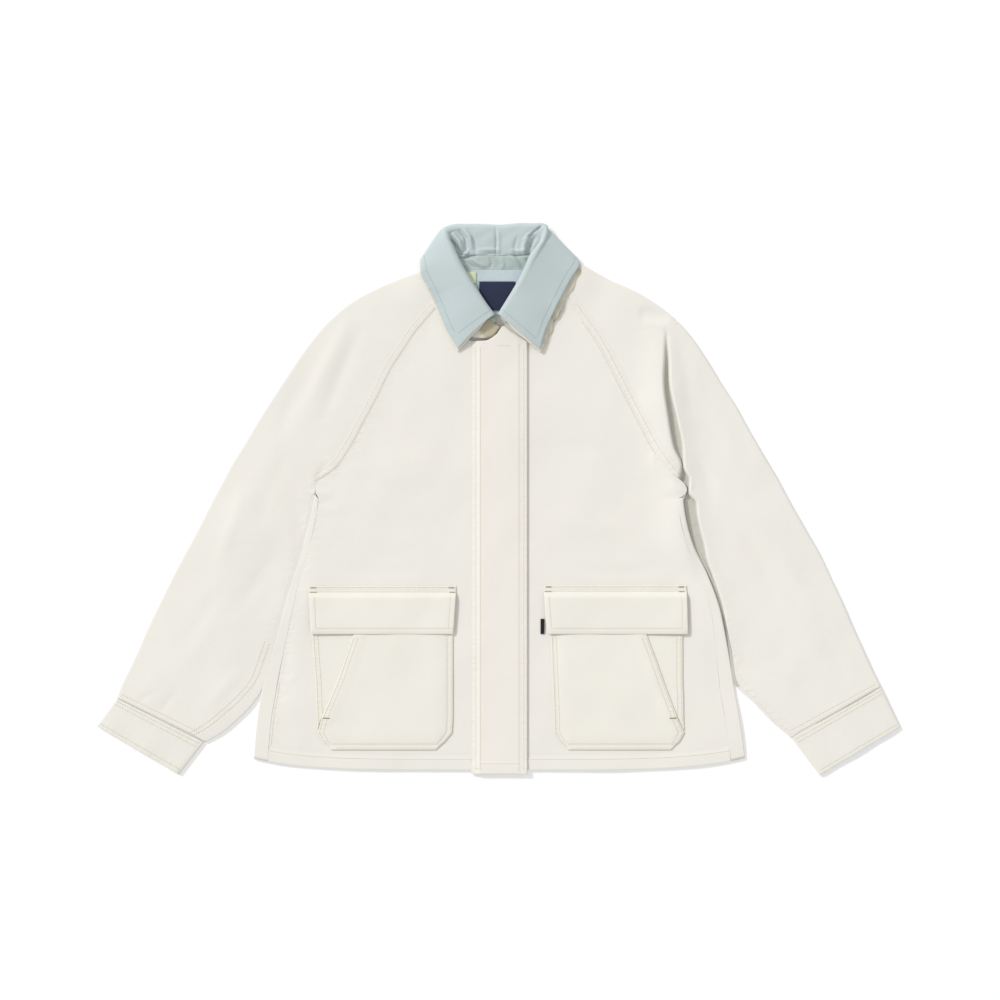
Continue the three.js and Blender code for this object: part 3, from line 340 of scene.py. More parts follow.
# Collar sections: x, y and z of seam, roll and edge, turn in degrees, way out in x and y, bulge
COLLAR_ROWS = [
    (2, 219, 5.2, -5, 231, 11, -51, 188, 8.4, 0, -0.8, -0.6, 0),
    (-8, 206.5, 5.2, -14, 243, 12, -66, 214, 8, 0, -0.85, -0.5, 0),
    (-29, 202, 5.4, -28, 264, 13.5, -78, 243, 8.2, 8, -0.85, -0.5, 0),
    (-46, 221, 5.8, -41, 284, 15.5, -89, 266, 10.2, 22, -0.85, -0.4, 0),
    (-59, 252, 6.2, -52, 303, 17.5, -97, 283, 10.2, 42, -0.9, -0.2, 0),
    (-73, 284, 6, -60, 318, 18, -98, 297, 5.6, 66, -1, 0.2, 6),
    (-72, 290, 5.6, -65, 327, 17, -93, 302, 3, 88, -0.92, 0.4, 10),
    (-69, 292.5, 5.2, -67, 335, 14.5, -84, 302, 1.4, 110, -0.8, 0.6, 12),
    (-62, 290.8, 4.9, -61, 340, 11.4, -73, 297, 0.8, 130, -0.6, 0.8, 8),
    (-54, 287.5, 4.7, -50, 343, 8.4, -62, 292, 0.62, 152, -0.35, 0.94, 2),
    (-28, 286.3, 4.6, -27, 343.5, 6, -32, 291, 0.61, 180, 0, 1, 0),
    (0, 286, 4.6, 0, 342.5, 5.61, 0, 290, 0.61, 180, 0, 1, 0),
    (28, 286.3, 4.6, 29, 344.5, 6, 33, 291, 0.61, 180, 0, 1, 0),
    (56, 287.8, 4.7, 53, 344, 8.4, 66, 293, 0.62, 152, 0.35, 0.94, 2),
    (68, 292.5, 5.2, 60, 339.5, 11.6, 78, 300, 0.9, 130, 0.6, 0.8, 10),
    (79, 295.5, 5.4, 59, 332, 15, 89, 303, 1.8, 110, 0.8, 0.6, 14),
    (86, 292.5, 5.8, 55.5, 324, 17.2, 97.5, 301.5, 3.8, 88, 0.87, 0.45, 10),
    (89, 287, 6, 50, 316, 19, 101.5, 294, 7.4, 66, 0.94, 0.3, 4),
    (76, 255, 6.2, 40, 303, 18.5, 91, 276, 11.4, 42, 0.9, -0.3, 0),
    (63, 227, 5.8, 32, 287, 16, 77, 250, 11.5, 22, 0.85, -0.45, 0),
    (42, 207, 5.4, 22, 268, 14, 67, 230, 11.5, 8, 0.85, -0.5, 0),
    (28, 207, 5.2, 11, 250, 12.5, 58, 209, 11, 0, 0.8, -0.6, 0),
    (11, 220, 5.2, -0.5, 231.5, 11.5, 52, 187, 10, 0, 0.75, -0.65, 0),
]


@dataclass(frozen=True)
class Patch:
    """A raised patch over the neck that fades outside it."""

    amount: float
    half_width: float
    low_y: float
    fade: float

    def height(self, x: np.ndarray, y: np.ndarray) -> np.ndarray:
        """Height of the patch over the plan.

        Args:
            x: Plan X.
            y: Plan Y.

        Returns:
            Heights in millimetres.
        """
        aside = np.maximum(0, np.abs(x) - self.half_width)
        below = np.maximum(0, self.low_y - y)
        return self.amount * smooth(1 - np.hypot(aside, below) / self.fade)


@dataclass(frozen=True)
class SoftFold:
    """A broad soft fold: centre, half length, half width, direction and height."""

    x: float
    y: float
    length: float
    width: float
    turn: float
    height_mm: float

    def height(self, x: np.ndarray, y: np.ndarray) -> np.ndarray:
        """Height of the fold over the plan.

        Args:
            x: Plan X.
            y: Plan Y.

        Returns:
            Heights in millimetres.
        """
        angle = math.radians(self.turn)
        dx, dy = x - self.x, y - self.y
        along = (dx * math.cos(angle) + dy * math.sin(angle)) / self.length
        across = (dy * math.cos(angle) - dx * math.sin(angle)) / self.width
        return self.height_mm * np.exp(-along * along - across * across)


@dataclass(frozen=True)
class Crease:
    """A narrow ridge or trough along a path, with its own width on each side."""

    path: tuple[tuple[float, float], ...]
    width: float
    height_mm: float
    steep: float = 1.0

    @classmethod
    def of(cls, *row: float) -> "Crease":
        """A crease from one table row: x and y of three points, then the sizes."""
        return cls((row[0:2], row[2:4], row[4:6]), *row[6:])

    def height(self, x: np.ndarray, y: np.ndarray) -> np.ndarray:
        """Height of the crease over the plan.

        Args:
            x: Plan X.
            y: Plan Y.

        Returns:
            Heights in millimetres.
        """
        points = np.array(self.path, float)
        lengths = np.linalg.norm(np.diff(points, axis=0), axis=1)
        total = lengths.sum()
        reach = 3 * self.width * max(1.0, self.steep)
        low, high = points.min(0) - reach, points.max(0) + reach
        result = np.zeros_like(x)
        near_by = (x > low[0]) & (x < high[0]) & (y > low[1]) & (y < high[1])
        if not near_by.any():
            return result
        px, py = x[near_by], y[near_by]
        best = np.full(px.shape, np.inf)
        side = np.zeros_like(px)
        share = np.zeros_like(px)
        done = 0.0
        for start, end, length in zip(points[:-1], points[1:], lengths):
            dx, dy = end - start
            s = np.clip(((px - start[0]) * dx + (py - start[1]) * dy) / length**2, 0, 1)
            ex, ey = px - start[0] - s * dx, py - start[1] - s * dy
            distance = np.hypot(ex, ey)
            nearer = distance < best
            best = np.where(nearer, distance, best)
            side = np.where(nearer, dx * ey - dy * ex, side)
            share = np.where(nearer, (done + s * length) / total, share)
            done += length
        width = np.where(side < 0, self.width * self.steep, self.width)
        taper = np.sin(np.pi * np.clip(share, 0.001, 0.999)) ** 0.6
        result[near_by] = self.height_mm * taper * bell(best, 0.0, width)
        return result


@dataclass(frozen=True)
class Ripples:
    """The slight unevenness of worn canvas: many faint waves in all directions."""

    seed: int
    count: int
    shortest: float
    longest: float
    height_mm: float

    def height(self, x: np.ndarray, y: np.ndarray) -> np.ndarray:
        """Height of the waves over the plan.

        Args:
            x: Plan X.
            y: Plan Y.

        Returns:
            Heights in millimetres.
        """
        rng = np.random.default_rng(self.seed)
        result = np.zeros_like(x)
        for _ in range(self.count):
            turn, phase = rng.uniform(0, 2 * np.pi, 2)
            wave = rng.uniform(self.shortest, self.longest)
            along = x * math.cos(turn) + y * math.sin(turn)
            bend = 0.35 * np.sin(2 * np.pi * (y * math.cos(turn) - x * math.sin(turn)) / (2.3 * wave))
            result += np.sin(2 * np.pi * along / wave + phase + bend)
        return result * self.height_mm / math.sqrt(self.count)


NECK_LIFT = Patch(2.4, 90, 274, 46)
FACING_RISE = Patch(0.9, 66, 212, 30)
SOFT_FOLDS = (
    SoftFold(-246, -150, 90, 20, 82, 1.3),
    SoftFold(-120, 70, 80, 34, 70, 0.9),
    SoftFold(118, 40, 90, 36, 98, 0.9),
    SoftFold(-208, 170, 60, 16, 60, 1.4),
    SoftFold(-330, -60, 110, 30, 64, 1.2),
    SoftFold(-410, -220, 60, 26, 50, 1),
    SoftFold(345, -60, 110, 32, 116, 1.2),
    SoftFold(408, -210, 60, 26, 125, 1),
    SoftFold(-150, -250, 60, 36, 5, 0.6),
    SoftFold(150, -250, 60, 36, -5, 0.6),
)
RIPPLES = (Ripples(11, 14, 90, 210, 0.55), Ripples(23, 18, 34, 80, 0.16))
RIDGE_COLUMNS = "x y height"
RIDGE_ROWS = [
    (192, 238, 0), (204, 208, 2), (204, 165, 5), (209, 108, 6.2), (217, 55, 6.2),
    (226, 12, 5.4), (232, -45, 5.8), (250, -85, 4), (268, -130, 2.4), (282, -175, 1.2), (290, -215, 0),
]
RIDGE_WIDTH = 24.0

# Creases laid after the photo: sleeve, armpit, side and pocket surroundings.
# Each row has x and y of three points, width, height and, for some, how much wider one side is.
CREASE_ROWS = (
    # left armpit and raglan end
    (-216, 54, -208, 47, -200, 40, 3.0, 0.9),
    (-230, 22, -222, 34, -214, 46, 3.4, -0.9),
    (-233, 10, -222, 6, -206, 8, 3.6, 0.8),
    (-236, -6, -218, -14, -196, -12, 5.0, 0.6),
    # left shoulder bands
    (-170, 222, -196, 160, -222, 96, 9.0, -1.1),
    (-186, 228, -212, 176, -240, 116, 8.0, 0.8),
    (-242, 150, -262, 110, -276, 76, 10.0, -0.7),
    # left sleeve
    (-262, 60, -288, 10, -306, -40, 13.0, -0.9),
    (-318, 20, -332, -30, -352, -84, 9.0, 0.8),
    (-282, -70, -306, -110, -330, -140, 9.0, -0.6),
    (-350, -110, -372, -150, -400, -196, 10.0, -0.8),
    (-318, -210, -344, -236, -368, -262, 8.0, 0.7),
    (-402, -240, -414, -254, -424, -268, 4.0, -0.5),
    (-452, -256, -440, -246, -424, -240, 4.0, -0.5),
    # left side of the body
    (-250, 0, -246, -70, -252, -140, 10.0, -1.0),
    (-238, -60, -243, -64, -249, -70, 3.0, -0.9),
    (-262, -150, -268, -210, -280, -270, 9.0, -0.7),
    (-276, -222, -262, -226, -250, -222, 3.0, 0.6),
    (-280, -240, -266, -246, -254, -244, 3.0, -0.5),
    # chest and waist
    (-150, 20, -110, 6, -66, 10, 12.0, -0.5),
    (-190, -30, -140, -52, -84, -50, 13.0, 0.5),
    (-200, -84, -150, -92, -96, -88, 8.0, -0.5),
    (60, 74, 104, 60, 150, 66, 12.0, -0.5),
    (58, -20, 110, -38, 176, -30, 13.0, 0.5),
    (84, -84, 140, -92, 204, -86, 8.0, -0.5),
    # right shoulder dimple and armpit
    (176, 236, 194, 231, 212, 226, 6.0, -1.7, 1.6),
    (182, 224, 196, 219, 210, 214, 5.0, 1.0),
    (196, 60, 192, 46, 200, 34, 4.0, 0.7),
    (212, 22, 222, 14, 232, 9, 3.0, 1.2),
    (206, 4, 220, 2, 230, 4, 4.0, -0.8),
    # right sleeve
    (222, 200, 236, 150, 240, 104, 9.0, -0.8),
    (262, 130, 286, 84, 300, 40, 11.0, 0.7),
    (250, 60, 262, 20, 268, -20, 10.0, -0.7),
    (300, -20, 326, -74, 350, -128, 11.0, -0.8),
    (350, -60, 372, -104, 398, -150, 9.0, 0.7),
    (312, -180, 338, -206, 372, -232, 8.0, 0.6),
    (400, -180, 420, -200, 438, -226, 9.0, -0.7),
    # right side of the body
    (238, -30, 248, -70, 258, -104, 9.0, -1.3),
    (262, -130, 270, -190, 278, -250, 10.0, -0.6),
)

# Creases inside the neck: puckers at the left, hollow and dark crease at the right, stand seam
NECK_CREASE_ROWS = (
    (-62, 324, -52, 316, -42, 303, 3.4, -2.4),
    (-58, 333, -49, 322, -44, 308, 3.0, 3.0),
    (-50, 337, -42, 326, -40, 308, 2.4, -2.0),
    (-44, 338, -36, 328, -33, 312, 2.6, 2.2),
    (-36, 312, -42, 305, -50, 300, 2.4, 2.2),
    (-34, 334, -28, 316, -30, 300, 3.4, -1.0),
    (-52, 300, -38, 303, -24, 305, 2.2, -1.8),
    (-24, 305, -8, 307, 6, 305, 2.0, -1.2),
    (-26, 311, -12, 312, 4, 311, 2.6, 1.0),
    (8, 306, 24, 304, 44, 307, 2.0, -1.6),
    (14, 311, 26, 310, 40, 313, 2.4, 1.2),
    (-4, 341, -3, 322, -4, 300, 1.4, -1.3),
    (0, 338, 1, 322, 0, 304, 1.6, 0.8),
    (56, 343, 44, 334, 33, 325, 2.4, -3.0, 0.7),
    (50, 338, 38, 330, 30, 322, 2.4, 2.4),
    (48, 330, 40, 318, 36, 306, 4.0, -2.2),
    (38, 330, 32, 318, 31, 304, 2.8, 2.0),
    (24, 330, 20, 316, 22, 302, 3.0, -1.0),
    (12, 306, 22, 297, 28, 289, 3.0, 1.6),
    (2, 302, 6, 294, 4, 287, 2.6, 1.2),
    (-12, 303, -8, 295, -12, 287, 2.6, -0.9),
    (-34, 301, -26, 295, -16, 290, 2.8, 1.6),
    (-40, 297, -30, 290, -22, 287, 2.0, -1.0),
    (-58, 312, -52, 298, -44, 291, 2.6, 1.6),
    (34, 302, 40, 294, 44, 288, 2.6, -1.2),
)

CREASES = tuple(Crease.of(*row) for row in CREASE_ROWS)
NECK_CREASES = tuple(Crease.of(*row) for row in NECK_CREASE_ROWS)


class Heights:
    """Heights of the jacket's cloth over the plan."""

    def __init__(self) -> None:
        """Prepares the heaped ridge beside the deep fold."""
        table = Table(RIDGE_COLUMNS, RIDGE_ROWS, "x y")
        fine = table.at(np.linspace(0, table.length, 260))
        self.ridge_x, self.ridge_y, self.ridge_height = fine["x"], fine["y"], fine["height"]

    def back(self, x: np.ndarray, y: np.ndarray) -> np.ndarray:
        """Outside height of the layer that lies on the surface."""
        return CANVAS + NECK_LIFT.height(x, y)

    def ridge(self, x: np.ndarray, y: np.ndarray) -> np.ndarray:
        """Height of the cloth heaped beside the deep fold.

        Args:
            x: Plan X.
            y: Plan Y.

        Returns:
            Heights in millimetres.
        """
        gap = np.hypot(x[..., None] - self.ridge_x, y[..., None] - self.ridge_y)
        nearest = gap.argmin(axis=-1)
        distance = np.take_along_axis(gap, nearest[..., None], -1)[..., 0]
        return self.ridge_height[nearest] * bell(distance, 0.0, RIDGE_WIDTH)

    def top(self, x: np.ndarray, y: np.ndarray) -> np.ndarray:
        """Outside height of the fronts and of the sleeves' upper layer.

        Args:
            x: Plan X.
            y: Plan Y.

        Returns:
            Heights in millimetres.
        """
        x, y = np.asarray(x, float), np.asarray(y, float)
        height = BODY_TOP + NECK_LIFT.height(x, y) + FACING_RISE.height(x, y) + self.ridge(x, y)
        for part in (*SOFT_FOLDS, *CREASES, *RIPPLES):
            height = height + part.height(x, y)
        return np.maximum(height, BODY_TOP - 0.9)


def channel_end(y: np.ndarray) -> np.ndarray:
    """How deep the fold beside the body is along its length."""
    rows = np.array(CHANNEL_ROWS, float)
    return through(rows[:, 0], rows[:, 3:4], np.clip(y, rows[0, 0], rows[-1, 0]))[:, 0]


def channel_depth(x: np.ndarray, y: np.ndarray, below: np.ndarray) -> np.ndarray:
    """How far the sleeve's cloth sinks into the deep fold beside the body.

    Args:
        x: Plan X.
        y: Plan Y.
        below: 1 where the body's side forms the fold's left wall.

    Returns:
        Shares from 0, at full height, to 1, on the fold's floor.
    """
    rows = np.array(CHANNEL_ROWS, float)
    place = np.clip(y.ravel(), rows[0, 0], rows[-1, 0])
    left, right, depth = (v.reshape(y.shape) for v in through(rows[:, 0], rows[:, 1:], place).T)
    from_left = np.maximum(smooth((x - left) / 2.6 + 0.35), below)
    from_right = smooth((right - x) / 2.4 + 0.5)
    return depth * from_left * from_right


def hem_drop(x: np.ndarray) -> np.ndarray:
    """How far the hem hangs below its height at the side folds."""
    reach = np.minimum(1.05, np.abs(x) / HEM_HALF)
    return HEM_DIP * (reach**HEM_POWER - 1)


def fine_places(length: float, step: float = STEP) -> np.ndarray:
    """Places along a length, closer together near its two ends.

    Args:
        length: The whole length.
        step: Spacing away from the ends.

    Returns:
        Increasing places from 0 to the length.
    """
    radius = CANVAS / 2
    near = [radius * share for share in RIM]
    near += list(np.arange(radius, min(FINE_REACH, length * 0.35), FINE_STEP))
    near = np.array(near)
    middle = length - 2 * near[-1]
    count = max(2, int(round(middle / step)))
    inner = near[-1] + middle * np.arange(1, count) / count
    return np.concatenate([near, inner, (length - near)[::-1]])


def well_spaced(places: np.ndarray, length: float) -> np.ndarray:
    """Sorted places from 0 to a length, none closer together than 0.7 mm.

    Args:
        places: Places wanted.
        length: The whole length.

    Returns:
        Increasing places.
    """
    kept = [0.0]
    for place in np.sort(places):
        if place - kept[-1] >= 0.7 and place < length - 0.7:
            kept.append(float(place))
    return np.array([*kept, length])


@dataclass
class Shell:
    """A thin closed wall of cloth about a grid of middle points, in millimetres."""

    name: str
    middle: np.ndarray
    thickness: float
    edge: np.ndarray
    run: np.ndarray
    flat: np.ndarray
    closed: bool = False
    rounded: np.ndarray | None = None
    shade: np.ndarray | None = None
    way: float = 1.0

    def normals(self) -> np.ndarray:
        """Unit normals of the middle grid."""
        grid = self.middle
        if self.closed:
            across = np.roll(grid, -1, axis=1) - np.roll(grid, 1, axis=1)
        else:
            across = np.gradient(grid, axis=1)
        down = np.gradient(grid, axis=0)
        normal = self.way * np.cross(across, down)
        return normal / np.maximum(np.linalg.norm(normal, axis=2, keepdims=True), 1e-12)

    def half(self) -> np.ndarray:
        """Half the wall's thickness, rounded off towards free edges."""
        radius = self.thickness / 2
        if self.rounded is None:
            return np.full(self.middle.shape[:2], radius)
        inset = np.minimum(self.rounded, radius)
        return np.maximum(np.sqrt(np.maximum(radius**2 - (radius - inset) ** 2, 0)), 0.05)

    def outside(self) -> np.ndarray:
        """Points of the outer face."""
        return self.middle + self.normals() * self.half()[..., None]

    def faces(self) -> np.ndarray:
        """Quads of the closed wall."""
        rows, columns = self.middle.shape[:2]
        count = rows * columns
        spans = columns if self.closed else columns - 1
        i, j = np.meshgrid(np.arange(rows - 1), np.arange(spans), indexing="ij")
        i, j = i.ravel(), j.ravel()
        k = (j + 1) % columns
        outer = np.stack([i * columns + j, i * columns + k, (i + 1) * columns + k, (i + 1) * columns + j], 1)
        quads = [outer, outer[:, ::-1] + count]
        j = np.arange(spans)
        k = (j + 1) % columns
        last = (rows - 1) * columns
        quads.append(np.stack([k, j, j + count, k + count], 1))
        quads.append(np.stack([last + j, last + k, last + k + count, last + j + count], 1))
        if not self.closed:
            i = np.arange(rows - 1) * columns
            n = i + columns
            end = columns - 1
            quads.append(np.stack([i, n, n + count, i + count], 1))
            quads.append(np.stack([n + end, i + end, i + end + count, n + end + count], 1))
        return np.concatenate(quads)

    def build(self, material: bpy.types.Material) -> bpy.types.Object:
        """Makes the Blender object.

        Args:
            material: The cloth's material.

        Returns:
            The object, at the origin.
        """
        offset = self.normals() * self.half()[..., None]
        both = np.concatenate([(self.middle + offset).reshape(-1, 3), (self.middle - offset).reshape(-1, 3)])
        quads = self.faces()
        corners = both[quads]
        volume = np.einsum("ij,ij->", corners[:, 0], np.cross(corners[:, 1], corners[:, 2]))
        volume += np.einsum("ij,ij->", corners[:, 0], np.cross(corners[:, 2], corners[:, 3]))
        if volume < 0:
            quads = quads[:, ::-1]
        mesh = bpy.data.meshes.new(self.name)
        mesh.from_pydata((both * MM).tolist(), [], quads.tolist())
        mesh.shade_smooth()
        layer = mesh.uv_layers.new(name="cloth")
        flat = np.concatenate([self.flat.reshape(-1, 2)] * 2) * MM
        layer.data.foreach_set("uv", flat[quads.ravel()].astype(np.float32).ravel())
        shade = np.zeros(self.edge.shape) if self.shade is None else self.shade
        for label, values in (("edge", self.edge * MM), ("run", self.run * MM), ("shade", shade)):
            attribute = mesh.attributes.new(label, "FLOAT", "POINT")
            attribute.data.foreach_set("value", np.tile(values.ravel(), 2).astype(np.float32))
        mesh.materials.append(material)
        piece = bpy.data.objects.new(self.name, mesh)
        bpy.context.scene.collection.objects.link(piece)
        area = self.area()
        log.info("%s: %d triangles, %.4f square metres", self.name, 2 * len(quads), area)
        return piece

    def area(self) -> float:
        """Area of the middle surface in square metres."""
        g = self.middle if not self.closed else np.concatenate([self.middle, self.middle[:, :1]], 1)
        diagonal = g[1:, 1:] - g[:-1, :-1]
        other = g[1:, :-1] - g[:-1, 1:]
        return float(np.linalg.norm(np.cross(diagonal, other), axis=2).sum() / 2 * MM * MM)

    def upper_face(self, row: int, column: int) -> np.ndarray:
        """Points and normals of the face that looks up at one grid point.

        Args:
            row: The grid point's row.
            column: Its column.

        Returns:
            Rows by columns of x, y, z and the normal.
        """
        both = np.concatenate([self.outside(), self.normals()], 2)
        if both[row, column, 5] < 0:
            both = np.concatenate([2 * self.middle - self.outside(), -self.normals()], 2)
        return both


def line_at(face: np.ndarray, gaps: np.ndarray, distance: float) -> np.ndarray:
    """The line on a face at one distance from an edge.

    Args:
        face: Rows by columns of x, y, z and the normal.
        gaps: Distance of each grid point from the edge, increasing along each row.
        distance: Distance of the line from the edge.

    Returns:
        Rows of x, y, z and the normal.
    """
    return np.array([
        [np.interp(distance, where, row[:, k]) for k in range(6)] for row, where in zip(face, gaps)
    ])


def flat_of(middle: np.ndarray) -> np.ndarray:
    """Distances along the rows and columns of a grid, for the weave.

    Args:
        middle: The grid.

    Returns:
        Two distances for each point.
    """
    across = np.linalg.norm(np.diff(middle, axis=1), axis=2)
    across = np.concatenate([np.zeros((len(middle), 1)), np.cumsum(across, axis=1)], 1)
    centre = middle.shape[1] // 2
    across = across - across[:, centre : centre + 1]
    down = np.linalg.norm(np.diff(middle, axis=0), axis=2)
    down = np.concatenate([np.zeros((1, middle.shape[1])), np.cumsum(down, axis=0)], 0)
    down = np.repeat(down[:, centre : centre + 1], middle.shape[1], axis=1)
    return np.stack([across, down], axis=2)


class Panel:
    """A panel between two side edges, lying on a height function."""

    def __init__(self, table: Table, left: tuple[str, str], right: tuple[str, str],
                 step: float = STEP, sewn: str = "lrtb", abut: str = "") -> None:
        """Works out the panel's plan grid.

        Args:
            table: The rows that give the two edges.
            left: The table's columns for the first edge's X and Y.
            right: The same for the second edge.
            step: Mesh spacing away from the edges.
            sewn: Which edges are sewn: l, r, t for the first row and b for the last.
            abut: Which edges meet another panel's edge, so they are hardly rounded.
        """
        places = fine_places(table.length, step)
        row = table.at(places)
        start = np.stack([row[left[0]], row[left[1]]], 1)
        end = np.stack([row[right[0]], row[right[1]]], 1)
        self.row = row
        self.width = np.linalg.norm(end - start, axis=1)
        widest = float(self.width.max())
        model = fine_places(widest, step)
        self.across = np.empty((len(places), len(model)))
        near = model < FINE_REACH + 0.1
        far = model > widest - FINE_REACH - 0.1
        for i, width in enumerate(self.width):
            squeeze = min(1.0, 0.42 * width / model[near][-1])
            spots = np.where(near, model * squeeze, width - (widest - model) * squeeze)
            middle = ~(near | far)
            lead = model[near][-1] * squeeze
            tail = width - (widest - model[far][0]) * squeeze
            inner = (model[middle] - lead) / (model[far][0] - lead)
            spots[middle] = lead + inner * (tail - lead)
            self.across[i] = spots
        ratio = self.across / self.width[:, None]
        self.share = ratio
        self.plan = start[:, None, :] * (1 - ratio[..., None]) + end[:, None, :] * ratio[..., None]
        self.down = np.repeat(places[:, None], len(model), axis=1)
        self.left_gap = self.across
        self.right_gap = self.width[:, None] - self.across
        self.top_gap = self.down
        self.bottom_gap = table.length - self.down
        gaps = {"l": self.left_gap, "r": self.right_gap, "t": self.top_gap, "b": self.bottom_gap}
        every = np.stack([gap + (0.4 if k in abut else 0.0) for k, gap in gaps.items()])
        self.rim = every.min(axis=0)
        far_off = np.full_like(self.rim, FAR_OFF)
        picked = [gaps[k] if k in sewn else far_off for k in "lrtb"]
        stack = np.stack(picked)
        nearest = stack.argmin(axis=0)
        ordered = np.sort(stack, axis=0)
        self.edge = ordered[0] + 30 * smooth((5 - (ordered[1] - ordered[0])) / 4)
        self.run = np.where(nearest < 2, self.down, self.across) + 1000.0 * nearest

    @property
    def x(self) -> np.ndarray:
        """Plan X of the grid."""
        return self.plan[..., 0]

    @property
    def y(self) -> np.ndarray:
        """Plan Y of the grid."""
        return self.plan[..., 1]

    def shell(self, name: str, top: np.ndarray, thickness: float) -> Shell:
        """The wall whose outside has the given heights.

        Args:
            name: The piece's name.
            top: Outside heights.
            thickness: Of the cloth.

        Returns:
            The wall.
        """
        middle = np.concatenate([self.plan, (top - thickness / 2)[..., None]], axis=2)
        shell = Shell(name, middle, thickness, self.edge, self.run, flat_of(middle), rounded=self.rim)
        if shell.normals()[len(middle) // 2, middle.shape[1] // 2, 2] < 0:
            shell.way = -1.0
        return shell

    def inset(self, shell: Shell, side: str, distance: float, first: float = 0.0,
              last: float = 1e9) -> np.ndarray:
        """A line on the outer face at one distance from an edge.

        Args:
            shell: The panel's wall.
            side: l, r, t or b.
            distance: Distance from that edge.
            first: Where the line starts along the edge.
            last: Where it ends.

        Returns:
            Rows of x, y, z and the normal.
        """
        both = np.concatenate([shell.outside(), shell.normals()], axis=2)
        if side in "lr":
            gap = self.left_gap if side == "l" else self.right_gap[:, ::-1]
            grid = both if side == "l" else both[:, ::-1]
            along = self.down[:, 0]
        else:
            gap = (self.top_gap if side == "t" else self.bottom_gap[::-1]).T
            grid = (both if side == "t" else both[::-1]).transpose(1, 0, 2)
            middle = len(self.down) // 2
            along = self.across[middle if side == "t" else -1]
        line = line_at(grid, gap, distance)
        keep = (along >= first) & (along <= min(last, along[-1]))
        return line[keep]


@dataclass(frozen=True)
class ClothFinish:
    """How a cloth looks."""

    name: str
    colour: tuple[int, int, int]
    thread_mm: float = 0.9
    weave: float = 0.35
    mottle: float = 0.05
    fleck: float = 0.25
    pucker: float = 1.0
    roughness: float = 0.9
    sheen: float = 0.12
    # Colour factors of the painted shade, used where the shade attribute is 1
    deep: tuple[float, float, float] = (0.74, 0.75, 0.72)


@dataclass(frozen=True)
class ThreadFinish:
    """How sewing thread looks."""

    name: str
    colour: tuple[int, int, int]
    roughness: float = 0.6


LIGHT_LEVEL = 1.07
BODY_CLOTH = ClothFinish("canvas_body", (240, 237, 230))
# The sleeve's deep factors paint shade on the floor of the deep fold by the right armpit
SLEEVE_CLOTH = ClothFinish("canvas_sleeve", (240, 237, 230), deep=(0.66, 0.67, 0.63))
PLACKET_CLOTH = ClothFinish("canvas_placket", (241, 237, 229))
POCKET_CLOTH = ClothFinish("canvas_pocket", (241, 238, 229))
CUFF_CLOTH = ClothFinish("canvas_cuff", (238, 236, 228))
COLLAR_CLOTH = ClothFinish("collar_blue", (196, 208, 209), 0.6, 0.22, 0.06, 0.1)
STAND_CLOTH = ClothFinish("stand_blue", (186, 200, 197), 0.5, 0.2, 0.1, 0.1)
# The under-collar's olive deep factors paint shade on its front end and on the band under the right leaf's
# edge
UNDER_CLOTH = ClothFinish("under_cream", (235, 231, 219), deep=(0.64, 0.61, 0.50))
LINING_CLOTH = ClothFinish("lining_blue", (197, 211, 216), 0.45, 0.18, 0.05, 0.05)
LABEL_CLOTH = ClothFinish("label_navy", (38, 46, 72), 0.4, 0.3, 0.05, 0.0, 0.4, 0.6, 0.3)
TAG_CLOTH = ClothFinish("tag_green", (222, 233, 196), 0.4, 0.2, 0.04, 0.0, 0.4)
TAB_CLOTH = ClothFinish("tab_black", (26, 26, 29), 0.4, 0.3, 0.05, 0.0, 0.4, 0.65, 0.2)
CREAM_THREAD = ThreadFinish("thread_ecru", (206, 196, 152))
BLUE_THREAD = ThreadFinish("thread_blue", (150, 170, 178))
BARTACK_THREAD = ThreadFinish("thread_bartack", (186, 172, 134))


def linear(colour: tuple[int, int, int], level: float = LIGHT_LEVEL) -> tuple[float, ...]:
    """Scene-linear base colour that renders as an 8-bit colour under the studio light."""
    values = []
    for channel in colour:
        s = channel / 255
        values.append((s / 12.92 if s <= 0.04045 else ((s + 0.055) / 1.055) ** 2.4) / level)
    return (*values, 1.0)


def tinted(colour: tuple[float, ...], factors: tuple[float, float, float]) -> tuple[float, ...]:
    """A colour with each channel multiplied by its own factor."""
    return (*(c * f for c, f in zip(colour[:3], factors)), 1.0)


def new_group(name: str, inputs: dict[str, str], outputs: dict[str, str]) -> bpy.types.NodeTree:
    """An empty shader group with its sockets.

    Args:
        name: The group's name.
        inputs: Socket name to socket type.
        outputs: The same for the results.

    Returns:
        The node tree.
    """
    tree = bpy.data.node_groups.new(name, "ShaderNodeTree")
    for way, sockets in (("INPUT", inputs), ("OUTPUT", outputs)):
        for label, kind in sockets.items():
            tree.interface.new_socket(name=label, in_out=way, socket_type=kind)
    tree.nodes.new("NodeGroupInput")
    tree.nodes.new("NodeGroupOutput")
    return tree


